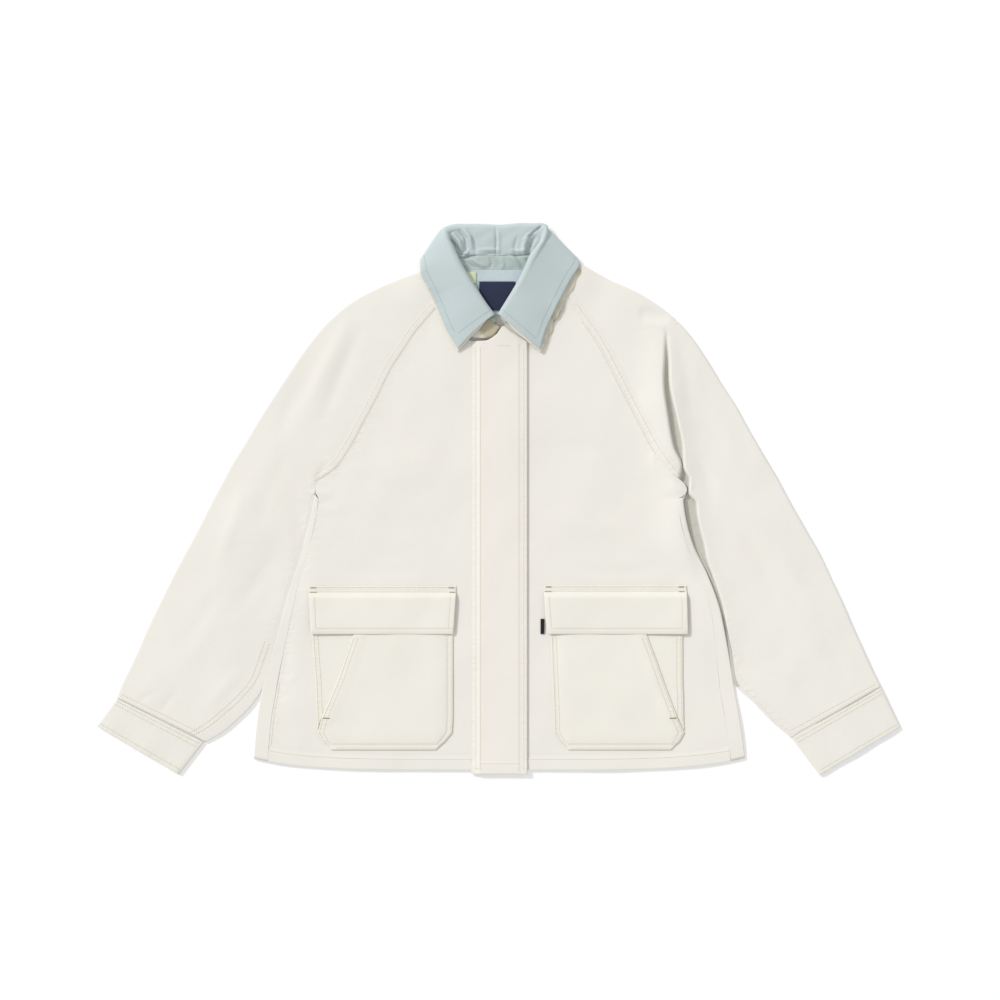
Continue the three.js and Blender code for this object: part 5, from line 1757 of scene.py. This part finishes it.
    def lowered(self, hook: np.ndarray, depth: np.ndarray, flatness: np.ndarray) -> np.ndarray:
        """Presses an underarm edge down to the floor of the deep fold.

        Args:
            hook: Middle points of the underarm edge, rows by columns by 3.
            depth: How deep the fold is on each row.
            flatness: 1 on the rows above the armpit, which are left alone.

        Returns:
            The moved points.
        """
        top = hook[..., 2].max(axis=1)
        wanted = np.minimum(top, self.fold_floor - CANVAS / 2 + (1 - depth) * 4)
        low = hook[:, -1, 2]
        scale = (wanted - low) / np.maximum(top - low, 0.01)
        blend = (1 - flatness)[:, None]
        pressed = low[:, None] + (hook[..., 2] - low[:, None]) * scale[:, None]
        result = hook.copy()
        result[..., 2] = hook[..., 2] * (1 - blend) + pressed * blend
        return result

    def cuff(self, side: Side) -> None:
        """A flattened ring of doubled cloth.

        Args:
            side: The viewer's left or right.
        """
        inner, outer, end_inner, end_outer = (np.array(p, float) for p in CUFF_ENDS[side])
        length = float(np.linalg.norm(end_outer - outer))
        places = fine_places(length, 2.5)
        share = (places / length)[:, None]
        share[0] = HAIR / length
        edge_in = inner * (1 - share) + end_inner * share
        edge_out = outer * (1 - share) + end_outer * share
        width = np.linalg.norm(edge_out - edge_in, axis=1)
        along = (edge_out - edge_in) / width[:, None]
        low = self.cuff_wall / 2
        mid = (inner + outer) / 2
        lift = self.heights.top(mid[:1], mid[1:])[0]
        high = max(BODY_TOP + self.cuff_extra, min(lift + 0.6, BODY_TOP + 1.6)) - self.cuff_wall / 2
        radius = (high - low) / 2
        angles = np.radians([-90, -67, -45, -22, 0, 22, 45, 67, 90])
        centre_in = edge_in + along * (radius + self.cuff_wall / 2)
        centre_out = edge_out - along * (radius + self.cuff_wall / 2)
        ring, far = [], []
        for bend, centre, way, turn in ((ring, centre_in, -1, angles), (far, centre_out, 1, angles[::-1])):
            for angle in turn:
                spot = centre + way * along * radius * math.cos(angle)
                height = (low + high) / 2 + radius * math.sin(angle)
                bend.append(np.column_stack([spot, np.full(len(spot), height)]))
        start = ring[-1]
        for step in np.arange(1, 46) / 46:
            point = start * (1 - step) + far[0] * step
            wave = 0.35 * np.sin(2 * np.pi * (2.3 * step + 0.2)) * smooth(places / length)
            seam = -0.2 * bell(places, 1.0, 2.0)
            point[:, 2] += self.cuff_crown * math.sin(math.pi * step) + wave + seam
            ring.append(point)
        ring += far
        for step in np.arange(1, 20) / 20:
            ring.append(far[-1] * (1 - step) + ring[0] * step)
        middle = np.stack(ring, 1)
        edge = np.minimum(places, length - places)[:, None].repeat(middle.shape[1], 1)
        flat = flat_of(middle)
        rounded = np.minimum(places + 0.5, length - places)[:, None].repeat(middle.shape[1], 1)
        name = "left" if side is Side.LEFT else "right"
        run = flat[..., 0] + 500
        shell = Shell(f"cuff_{name}_cloth", middle, self.cuff_wall, edge, run, flat, True, rounded)
        self.hand_over(shell, CUFF_CLOTH, "canvas", f"cuff_{name}")
        both = shell.upper_face(len(places) // 2, 30)
        for gap in (3.0, 8.5, length - 5.0):
            at = closest(places, gap)
            self.seams.cream.row(both[at, 8:56])


@dataclass
class Pockets(Assembly):
    """Patch pockets with their side pieces, flaps, bartacks and the side tab."""

    ease: float = 0.2
    mouth_lift: float = 1.25
    mouth_fade: float = 26.0
    flap_lift: float = 4.0
    tab: tuple[tuple[float, ...], ...] = ((-149, 52.5, 63.5), (-168, 52.5, 63.5))

    def pocket(self, side: Side) -> None:
        """A patch pocket: side piece, body with its slanted mouth, and flap.

        Args:
            side: The viewer's left or right.
        """
        name = "left" if side is Side.LEFT else "right"
        base = LAP + CANVAS
        corner_table = Table(POCKET_COLUMNS, CORNER_ROWS[side], "y", True)
        panel = Panel(corner_table, ("left", "y"), ("right", "y"), 3.0, "lr")
        top = self.heights.top(panel.x, panel.y) + base
        shell = panel.shell(f"pocket_{name}_side_cloth", top, CANVAS)
        self.hand_over(shell, POCKET_CLOTH, "canvas", f"pocket_{name}_side")
        outer_side = "l" if side is Side.LEFT else "r"
        for distance in (2.2, 7.4):
            self.seams.pockets.row(panel.inset(shell, outer_side, distance, 48, corner_table.length - 1))
        table = Table(POCKET_COLUMNS, POCKET_ROWS[side], "y", True)
        panel = Panel(table, ("left", "y"), ("right", "y"), 2.6, "lrb")
        (top_x, top_y), (bottom_x, bottom_y) = MOUTH[side]
        share = np.clip((panel.y - top_y) / (bottom_y - top_y), 0, 1)
        edge_x = top_x + (bottom_x - top_x) * share
        inside = np.maximum(0, (edge_x - panel.x) * side.value)
        below = np.maximum(0, bottom_y - panel.y) * 1.2
        mouth = self.mouth_lift * smooth(1 - (inside + below) / self.mouth_fade)
        sewn = np.minimum(panel.bottom_gap, panel.right_gap if side is Side.LEFT else panel.left_gap)
        puff = 0.9 * smooth(sewn / 22) * smooth(panel.rim / 12)
        groove = -0.35 * bell(sewn, 5.0, 3.2)
        sag = 0.5 * bell(panel.y, -205.0, 26.0) * np.sin((panel.x + panel.y * 0.3) / 21)
        top = self.heights.top(panel.x, panel.y) + base + self.ease + mouth + puff + groove
        top = top + sag * smooth(sewn / 20)
        shell = panel.shell(f"pocket_{name}_cloth", top, CANVAS)
        self.hand_over(shell, POCKET_CLOTH, "canvas", f"pocket_{name}")
        inner_side, mouth_side = ("r", "l") if side is Side.LEFT else ("l", "r")
        for distance in (2.2, 7.4):
            self.seams.pockets.row(panel.inset(shell, inner_side, distance, 48, table.length - distance))
            self.seams.pockets.row(panel.inset(shell, mouth_side, distance, 48, table.length - distance))
            self.seams.pockets.row(panel.inset(shell, "b", distance, 6, 400))
        self.bartack(panel, shell, mouth_side, 150.0, 6.0, 9.0)
        self.flap(side, name)

    def flap(self, side: Side, name: str) -> None:
        """The pocket's flap, sewn along its top and standing off at the bottom.

        Args:
            side: The viewer's left or right.
            name: The side's word in the piece's name.
        """
        table = Table(POCKET_COLUMNS, FLAP_ROWS[side], "y")
        panel = Panel(table, ("left", "y"), ("right", "y"), 2.4, "t")
        rise = smooth((panel.top_gap - 6) / 10)
        phase = 0.6 if side is Side.LEFT else 2.2
        wave = 0.55 * np.sin(panel.across / 29 + phase) * smooth(panel.top_gap / 50)
        wave = wave + 0.3 * np.sin(panel.across / 11.5 + 1.0) * smooth((panel.top_gap - 30) / 30)
        side_gap = np.minimum(panel.left_gap, panel.right_gap)
        curl = -0.9 * smooth((6 - panel.bottom_gap) / 6) - 0.4 * smooth((6 - side_gap) / 6)
        base = self.heights.top(panel.x, panel.y) + LAP + CANVAS
        seam = -0.3 * bell(panel.top_gap, 7.5, 2.0)
        edge_groove = -0.25 * bell(np.minimum(panel.bottom_gap, side_gap), 7.0, 2.0)
        top = base + rise * (self.flap_lift - LAP + wave + curl + edge_groove) + seam
        shell = panel.shell(f"flap_{name}_cloth", top, CANVAS)
        self.hand_over(shell, POCKET_CLOTH, "canvas", f"flap_{name}")
        width = float(panel.width[0])
        self.seams.pockets.row(panel.inset(shell, "t", 2.0, 1, width - 1))
        self.seams.pockets.row(panel.inset(shell, "t", 7.6, 1, width - 1))
        self.seams.pockets.row(panel.inset(shell, "b", 7.0, 6, width - 6))
        for edge_side in "lr":
            self.seams.pockets.row(panel.inset(shell, edge_side, 6.5, 12, table.length - 6))
        line = np.concatenate([shell.outside(), shell.normals()], 2)
        for gap, depth in ((6.0, 2.0), (5.0, 7.6), (width - 6.0, 2.0), (width - 5.0, 7.6)):
            row = closest(panel.down[:, 0], depth)
            ends = [closest(panel.across[row], gap + reach) for reach in (-4, 4)]
            self.bar(line[row, ends[0]], line[row, ends[1]])

    def bartack(self, panel: Panel, shell: Shell, side: str, place: float, gap: float, width: float) -> None:
        """A dense bar of stitches across a seam.

        Args:
            panel: The panel that it is sewn on.
            shell: The panel's wall.
            side: The edge that it crosses.
            place: Where it is along the panel's rows.
            gap: Distance of its middle from the edge.
            width: Its length across the seam.
        """
        near = panel.inset(shell, side, max(0.6, gap - width / 2))
        far = panel.inset(shell, side, gap + width / 2)
        at = closest(panel.down[:, 0], place)
        self.bar(near[at], far[at])

    def bar(self, start: np.ndarray, end: np.ndarray) -> None:
        """Stitches packed side by side between two points on the cloth.

        Args:
            start: x, y, z and the normal of the first point.
            end: The same for the last point.
        """
        ahead = end[:3] - start[:3]
        length = float(np.linalg.norm(ahead))
        ahead = ahead / length
        normal = start[3:] / np.linalg.norm(start[3:])
        across = np.cross(normal, ahead)
        for k in range(max(3, int(length / 0.55))):
            centre = start[:3] + ahead * (k + 0.5) * 0.55 + normal * 0.12
            points = np.stack([centre - across * 1.0, centre, centre + across * 1.0])
            self.seams.tacks.stitch(points, np.stack([normal] * 3), 0.34)

    def side_tab(self) -> None:
        """The small woven tab caught in the right flap's inner edge."""
        table = Table(POCKET_COLUMNS, list(self.tab), "y")
        panel = Panel(table, ("left", "y"), ("right", "y"), 1.5, "")
        bow = 0.3 * np.sin(np.pi * panel.top_gap / table.length)
        top = self.heights.top(panel.x, panel.y) + LAP + TRIM_WALL + bow
        shell = panel.shell("side_tab_cloth", top, TRIM_WALL)
        self.hand_over(shell, TAB_CLOTH, "tab", "side_tab")


@dataclass
class NeckTrim(Assembly):
    """Neck facing, woven label and size tag. Boxes are left, right, high and low."""

    facing: tuple[tuple[float, ...], ...] = ((286.6, -46, 46), (230.5, -31, 31))
    label_box: tuple[float, ...] = (-24, 21, 272, 236)
    tag_box: tuple[float, ...] = (-41, -28, 284, 270)
    clearance: float = 0.9

    def surface(self, panel: Panel) -> np.ndarray:
        """Outer height of the facing over a panel's plan."""
        return self.heights.back(panel.x, panel.y) + self.clearance + TRIM_WALL

    def make(self) -> None:
        """Neck facing, woven label and size tag."""
        table = Table(POCKET_COLUMNS, list(self.facing), "y")
        panel = Panel(table, ("left", "y"), ("right", "y"), 2.5, "t")
        bow = 0.25 * np.sin(panel.x / 9 + panel.y / 14) * smooth(panel.rim / 6)
        shell = panel.shell("neck_facing_cloth", self.surface(panel) + bow, TRIM_WALL)
        self.hand_over(shell, LINING_CLOTH, "lining", "neck_facing")
        self.seams.blue.row(panel.inset(shell, "t", 14.0, 2, 90))
        for name, box, finish, slot in (
            ("neck_label", self.label_box, LABEL_CLOTH, "label"),
            ("size_tag", self.tag_box, TAG_CLOTH, "tag"),
        ):
            left, right, high, low = box
            table = Table(POCKET_COLUMNS, [(high, left, right), (low, left, right)], "y")
            panel = Panel(table, ("left", "y"), ("right", "y"), 2.0, "")
            bow = 0.25 * np.sin(np.pi * (panel.x - left) / (right - left))
            top = self.surface(panel) + LAP + TRIM_WALL + bow
            shell = panel.shell(f"{name}_cloth", top, TRIM_WALL)
            self.hand_over(shell, finish, slot, name)


@dataclass
class Collar(Assembly):
    """Upper collar, stand and under-collar, rolled round the neck."""

    wall: float = 1.2
    roll_radius: float = 5.0
    limb_reach: float = 0.45
    limb_drop: float = 0.6
    under_gap: float = 0.95
    crumpling: float = 1.6
    crease_share: float = 0.72
    stitch_inset: float = 8.5

    def make(self) -> None:
        """Upper collar, stand and under-collar, rolled round the neck."""
        rows = np.array(COLLAR_ROWS, float)
        path = rows[:, 3:6]
        steps = np.linalg.norm(np.diff(path, axis=0), axis=1) + 2.0
        knots = np.concatenate([[0], np.cumsum(steps)])
        places = fine_places(float(knots[-1]), 1.5)
        fine = through(knots, rows, places)
        stand = np.linspace(0, 0.34, 20)
        upper = np.concatenate([np.linspace(0.342, 1, 34), np.linspace(1, 2, 20)[1:], self.fall_shares(26)])
        under_head = np.linspace(0, 1, 22)
        under = np.concatenate([under_head, np.linspace(1, 2, 20)[1:], self.fall_shares(26)])
        total = float(knots[-1])
        short = fine.copy()
        for near, aside in ((smooth((30 - places) / 24), -3.0), (smooth((30 - total + places) / 24), -7.0)):
            short[:, 0] += aside * near
            short[:, 1] += 8.0 * near
            short[:, 2] += 1.5 * near
        grid = self.points(short, stand)
        grid = self.crumple(grid, fine, stand)
        shell = self.wall_of("collar_stand_cloth", grid, places)
        self.hand_over(shell, STAND_CLOTH, "stand", "collar_stand")
        grid = self.points(short, upper)
        grid = self.crumple(grid, fine, upper)
        grid = self.leaf_shape(grid, fine, upper, places, total)
        shell = self.wall_of("collar_cloth", grid, places)
        self.hand_over(shell, COLLAR_CLOTH, "collar", "collar")
        both = shell.upper_face(20, -8)
        spread = np.linalg.norm(np.diff(grid, axis=1), axis=2)
        gap = np.concatenate([np.cumsum(spread[:, ::-1], 1)[:, ::-1], np.zeros((len(grid), 1))], 1)
        inset = self.stitch_inset
        line = line_at(both[:, ::-1], gap[:, ::-1], inset)
        shown = (places > inset) & (places < total - inset) & (fine[:, 9] < 75)
        self.seams.blue.row(line[shown & (places < total / 2)])
        self.seams.blue.row(line[shown & (places > total / 2)])
        for at_place in (inset, total - inset):
            at = closest(places, at_place)
            first = closest(upper, 1.75)
            keep = gap[at] > inset
            keep[:first] = False
            self.seams.blue.row(both[at][keep])
        self.under_collar(fine, under, places, total)

    def under_collar(self, fine: np.ndarray, under: np.ndarray, places: np.ndarray, total: float) -> None:
        """The cream layer inside the fold, which shows along the leaves' edges.

        Args:
            fine: One row of section sizes for each section.
            under: Shares of the profile.
            places: Lengths of the sections along the collar.
            total: The collar's whole length.
        """
        start = 0.6 * smooth((fine[:, 9] - 30) / 80)
        shares = np.where(under < 1, start[:, None] + (1 - start[:, None]) * under, under)
        fine = fine.copy()
        at_front = smooth((44 - places) / 22)
        fine[:, 1] -= 3.2 * at_front
        fine[:, 2] -= 0.3 * at_front
        at_end = smooth((30 - total + places) / 24)
        fine[:, 0] -= 6.0 * at_end
        fine[:, 1] += 7.0 * at_end
        grid = self.points(fine, shares)
        grid = self.crumple(grid, fine, shares)
        grid = self.leaf_shape(grid, fine, shares, places, total)
        normal = self.wall_of("under", grid, places).normals()
        upside = normal[20, -8, 2]
        inward = -np.sign(upside) if upside else 1.0
        grid = grid + normal * inward * (self.wall + self.under_gap - 0.35)
        last = grid[:, -1] - grid[:, -2]
        last = last / np.linalg.norm(last, axis=1, keepdims=True)
        right_leaf = smooth((places / total - 0.62) / 0.04) * smooth((total - places - 2) / 14)
        wavy = 1.0 + 0.26 * np.sin(places / 4.4) + 0.2 * np.sin(places / 2.7 + 1)
        reveal = 2.4 + 5.2 * right_leaf * wavy
        fade = smooth((under - 2.6) / 0.4)
        grid = grid + last[:, None, :] * (reveal[:, None] * fade[None, :])[..., None]
        droop = right_leaf[:, None] * smooth((under - 2.75) / 0.25)[None, :]
        grid[..., 2] -= 2.2 * droop
        fall = smooth((under - 2.1) / 0.3)[None, :, None]
        for end, beside in ((0, 1), (-1, -2)):
            ahead = grid[end] - grid[beside]
            ahead[:, 2] = 0
            ahead = ahead / np.maximum(np.linalg.norm(ahead, axis=1, keepdims=True), 1e-9)
            near = smooth((6 - (places if end == 0 else total - places)) / 6)
            grid = grid + 2.4 * near[:, None, None] * ahead[None] * fall
        shell = self.wall_of("under_collar_cloth", grid, places)
        # Painted shade: the front end below the left leaf and an uneven band along the right leaf's lifted
        # edge are tinted darker through the shade attribute
        in_shade = smooth((34 - places) / 10)[:, None] * smooth((1.6 - shares) / 0.4)
        band = right_leaf[:, None] * smooth((under - 2.7) / 0.2)[None, :]
        band = band * (0.52 + 0.3 * np.sin(places / 4.4 + 0.8) * np.sin(places / 9.0))[:, None]
        shell.shade = np.maximum(1.0 * in_shade, band)
        self.hand_over(shell, UNDER_CLOTH, "under", "under_collar")
        both = shell.upper_face(8, 8)
        for share in (0.16, 0.32, 0.48, 0.64):
            self.seams.cream.row(both[2:24, closest(under, share)])

    @staticmethod
    def fall_shares(count: int) -> np.ndarray:
        """Shares down the fall, closer together at its edge.

        Args:
            count: How many places there are, with the roll's own.

        Returns:
            Shares above 2, up to 3.
        """
        share = np.linspace(0, 1, count)[1:]
        return 2 + 1 - (1 - share) ** 1.25

    def points(self, fine: np.ndarray, shares: np.ndarray) -> np.ndarray:
        """Middle points of the collar.

        Args:
            fine: One row of section sizes for each section.
            shares: Shares of the profile: 0 to 1 stand, to 2 roll, to 3 fall, for all sections or
                for each.

        Returns:
            Points, sections by shares by 3.
        """
        shares = np.broadcast_to(shares, (len(fine), np.shape(shares)[-1]))
        seam, roll, end = fine[:, 0:3], fine[:, 3:6], fine[:, 6:9]
        turn = np.radians(fine[:, 9])[:, None]
        out = np.column_stack([fine[:, 10:12], np.zeros(len(fine))])
        out = out / np.linalg.norm(out, axis=1, keepdims=True)
        up = np.array([[0.0, 0.0, 1.0]])
        ahead = -out * np.cos(turn) + up * np.sin(turn)
        across = out * np.sin(turn) + up * np.cos(turn)
        centre = roll - ahead * self.roll_radius

        def limb(sideways: float, tip: np.ndarray, bulge: np.ndarray, s: np.ndarray) -> np.ndarray:
            """One limb of every section, curved between its tip and the roll.

            Args:
                sideways: Side of the roll that it starts from, -1 or 1.
                tip: Its lower ends.
                bulge: How far it bows out.
                s: Shares from the tip up to the roll.

            Returns:
                Sections by shares by 3.
            """
            top = centre + across * sideways * self.roll_radius
            reach = self.limb_reach * np.linalg.norm(top - tip, axis=1, keepdims=True)
            drop = np.minimum(reach * np.sin(turn), self.limb_drop * np.maximum(0, top[:, 2:] - tip[:, 2:]))
            bend = top + out * (reach * np.cos(turn) + bulge) - up * drop
            s = s[..., None]
            return tip[:, None] * (1 - s) ** 2 + 2 * bend[:, None] * s * (1 - s) + top[:, None] * s * s

        none = np.zeros((len(fine), 1))
        stand = limb(-1, seam, none, np.clip(shares, 0, 1))
        fall = limb(1, end, fine[:, 12:13], np.clip(3 - shares, 0, 1))
        angle = (np.pi * (np.clip(shares, 1, 2) - 1))[..., None]
        bow = (centre[:, None] - across[:, None] * self.roll_radius * np.cos(angle)
               + ahead[:, None] * self.roll_radius * np.sin(angle))
        which = shares[..., None]
        return np.where(which <= 1, stand, np.where(which >= 2, fall, bow))

    def crumple(self, grid: np.ndarray, fine: np.ndarray, shares: np.ndarray) -> np.ndarray:
        """Crumples the inside of the neck, where the collar stands up.

        Args:
            grid: Middle points, sections by shares by 3.
            fine: One row of section sizes for each section.
            shares: Shares of the profile.

        Returns:
            The moved points.
        """
        standing = smooth((fine[:, 9] - 60) / 40)[:, None]
        shares = np.broadcast_to(shares, grid.shape[:2])
        facing = standing * smooth((1.5 - shares) / 0.4) * smooth(shares / 0.08)
        x, y = grid[..., 0], grid[..., 1]
        height = np.zeros(grid.shape[:2])
        for crease in NECK_CREASES:
            height += replace(crease, width=self.crease_share * crease.width).height(x, y)
        height += 0.35 * np.sin(x / 4.7 + 1.5 * np.sin(y / 7.0)) * np.sin(y / 9.0 + 0.6)
        result = grid.copy()
        result[..., 2] += self.crumpling * facing * height
        return result

    @staticmethod
    def leaf_shape(grid: np.ndarray, fine: np.ndarray, shares: np.ndarray, places: np.ndarray,
                   total: float) -> np.ndarray:
        """Gives the leaves a soft uneven surface and the right one its lifted, wavy edge.

        Args:
            grid: Middle points, sections by shares by 3.
            fine: One row of section sizes for each section.
            shares: Shares of the profile.
            places: Lengths of the sections along the collar.
            total: The collar's whole length.

        Returns:
            The moved points.
        """
        shares = np.broadcast_to(shares, grid.shape[:2])
        down = smooth((shares - 2.15) / 0.85)
        lying = smooth((80 - fine[:, 9]) / 40)[:, None]
        x, y = grid[..., 0], grid[..., 1]
        soft = 0.5 * np.sin(x / 17.0 + y / 31.0 + 0.4) * np.sin(y / 23.0 - x / 40.0)
        right = smooth((places / total - 0.6) / 0.05)[:, None]
        wave = 0.55 * np.sin(places / 7.0)[:, None] * smooth((shares - 2.7) / 0.3) * right
        result = grid.copy()
        result[..., 2] += lying * (down * soft * smooth((3.02 - shares) / 0.2) + wave)
        return result

    def wall_of(self, name: str, grid: np.ndarray, places: np.ndarray) -> Shell:
        """A collar layer as a wall with rounded edges.

        Args:
            name: The piece's name.
            grid: Middle points, sections by shares by 3.
            places: Lengths of the sections along the collar.

        Returns:
            The wall.
        """
        steps = np.linalg.norm(np.diff(grid, axis=1), axis=2)
        from_end = np.concatenate([np.cumsum(steps[:, ::-1], 1)[:, ::-1], np.zeros((len(grid), 1))], 1)
        ends = np.minimum(places, places[-1] - places)[:, None]
        rounded = np.minimum(from_end, ends)
        edge = rounded + 30 * smooth((5 - np.abs(from_end - ends)) / 4)
        run = np.where(from_end < ends, places[:, None], from_end + 700)
        return Shell(name, grid, self.wall, edge, run, flat_of(grid), rounded=rounded)


@dataclass(frozen=True)
class Studio:
    """Pale floor, soft upper-left key light, even fill and a camera looking straight down."""

    frame_m: float = 1.25
    lens_mm: float = 135.0
    sensor_mm: float = 36.0
    centre: tuple[float, float] = (0.001875, -0.000625)
    key_from: tuple[float, float, float] = (-0.74, 0.62, 0.70)
    key_spread: float = 9.0
    key_strength: float = 2.05
    fill: float = 0.70
    floor_glow: float = 0.32
    floor_size: float = 12.0
    floor_z: float = -0.0002

    @staticmethod
    def sun(name: str, source: tuple[float, float, float], spread: float, strength: float) -> None:
        """Adds an even, distant light.

        Args:
            name: The light's name.
            source: Where it comes from.
            spread: Its angle, in degrees, which softens shadows.
            strength: In watts per square metre.
        """
        light = bpy.data.lights.new(name, "SUN")
        light.angle = math.radians(spread)
        light.energy = strength
        lamp = bpy.data.objects.new(name, light)
        lamp.location = source
        lamp.rotation_euler = (-Vector(source)).to_track_quat("-Z", "Y").to_euler()
        bpy.context.scene.collection.objects.link(lamp)

    def make(self) -> None:
        """Adds the floor, the lights and the camera."""
        scene = bpy.context.scene
        scene.view_settings.view_transform = "Standard"
        bpy.ops.object.select_all(action="DESELECT")
        bpy.ops.mesh.primitive_plane_add(size=self.floor_size, location=(0.0, 0.0, self.floor_z))
        floor = bpy.context.active_object
        floor.name = "floor"
        material = bpy.data.materials.new("floor_white")
        material.use_nodes = True
        shader = material.node_tree.nodes["Principled BSDF"]
        shader.inputs["Base Color"].default_value = (0.66, 0.66, 0.66, 1)
        shader.inputs["Emission Color"].default_value = (1.0, 1.0, 1.0, 1)
        shader.inputs["Emission Strength"].default_value = self.floor_glow
        shader.inputs["Roughness"].default_value = 0.9
        shader.inputs["Specular IOR Level"].default_value = 0.1
        floor.data.materials.append(material)
        world = bpy.data.worlds.new("studio")
        world.use_nodes = True
        sky = world.node_tree.nodes["Background"]
        sky.inputs["Color"].default_value = (1.0, 1.0, 1.0, 1)
        sky.inputs["Strength"].default_value = self.fill
        scene.world = world
        self.sun("key", self.key_from, self.key_spread, self.key_strength)
        data = bpy.data.cameras.new("camera")
        data.lens = self.lens_mm
        data.sensor_width = self.sensor_mm
        camera = bpy.data.objects.new("camera", data)
        camera.location = (*self.centre, self.frame_m * self.lens_mm / self.sensor_mm)
        scene.collection.objects.link(camera)
        scene.camera = camera


def main() -> None:
    """Builds the jacket and the studio."""
    logging.basicConfig(level=logging.INFO, format="%(message)s")
    Studio().make()
    wardrobe = Wardrobe()
    cream = wardrobe.thread(CREAM_THREAD)
    seams = Seams(
        Sewing("stitches_body", cream),
        Sewing("stitches_pockets", cream),
        Sewing("stitches_collar", wardrobe.thread(BLUE_THREAD)),
        Sewing("bartacks", wardrobe.thread(BARTACK_THREAD)),
    )
    shared = (Heights(), wardrobe, seams)
    body, sleeves, pockets = Body(*shared), Sleeves(*shared), Pockets(*shared)
    body.back()
    for side in Side:
        body.front(side)
        sleeves.sleeve(side)
        sleeves.cuff(side)
        pockets.pocket(side)
    body.placket()
    pockets.side_tab()
    NeckTrim(*shared).make()
    Collar(*shared).make()
    seams.build()


if __name__ == "__main__":
    main()
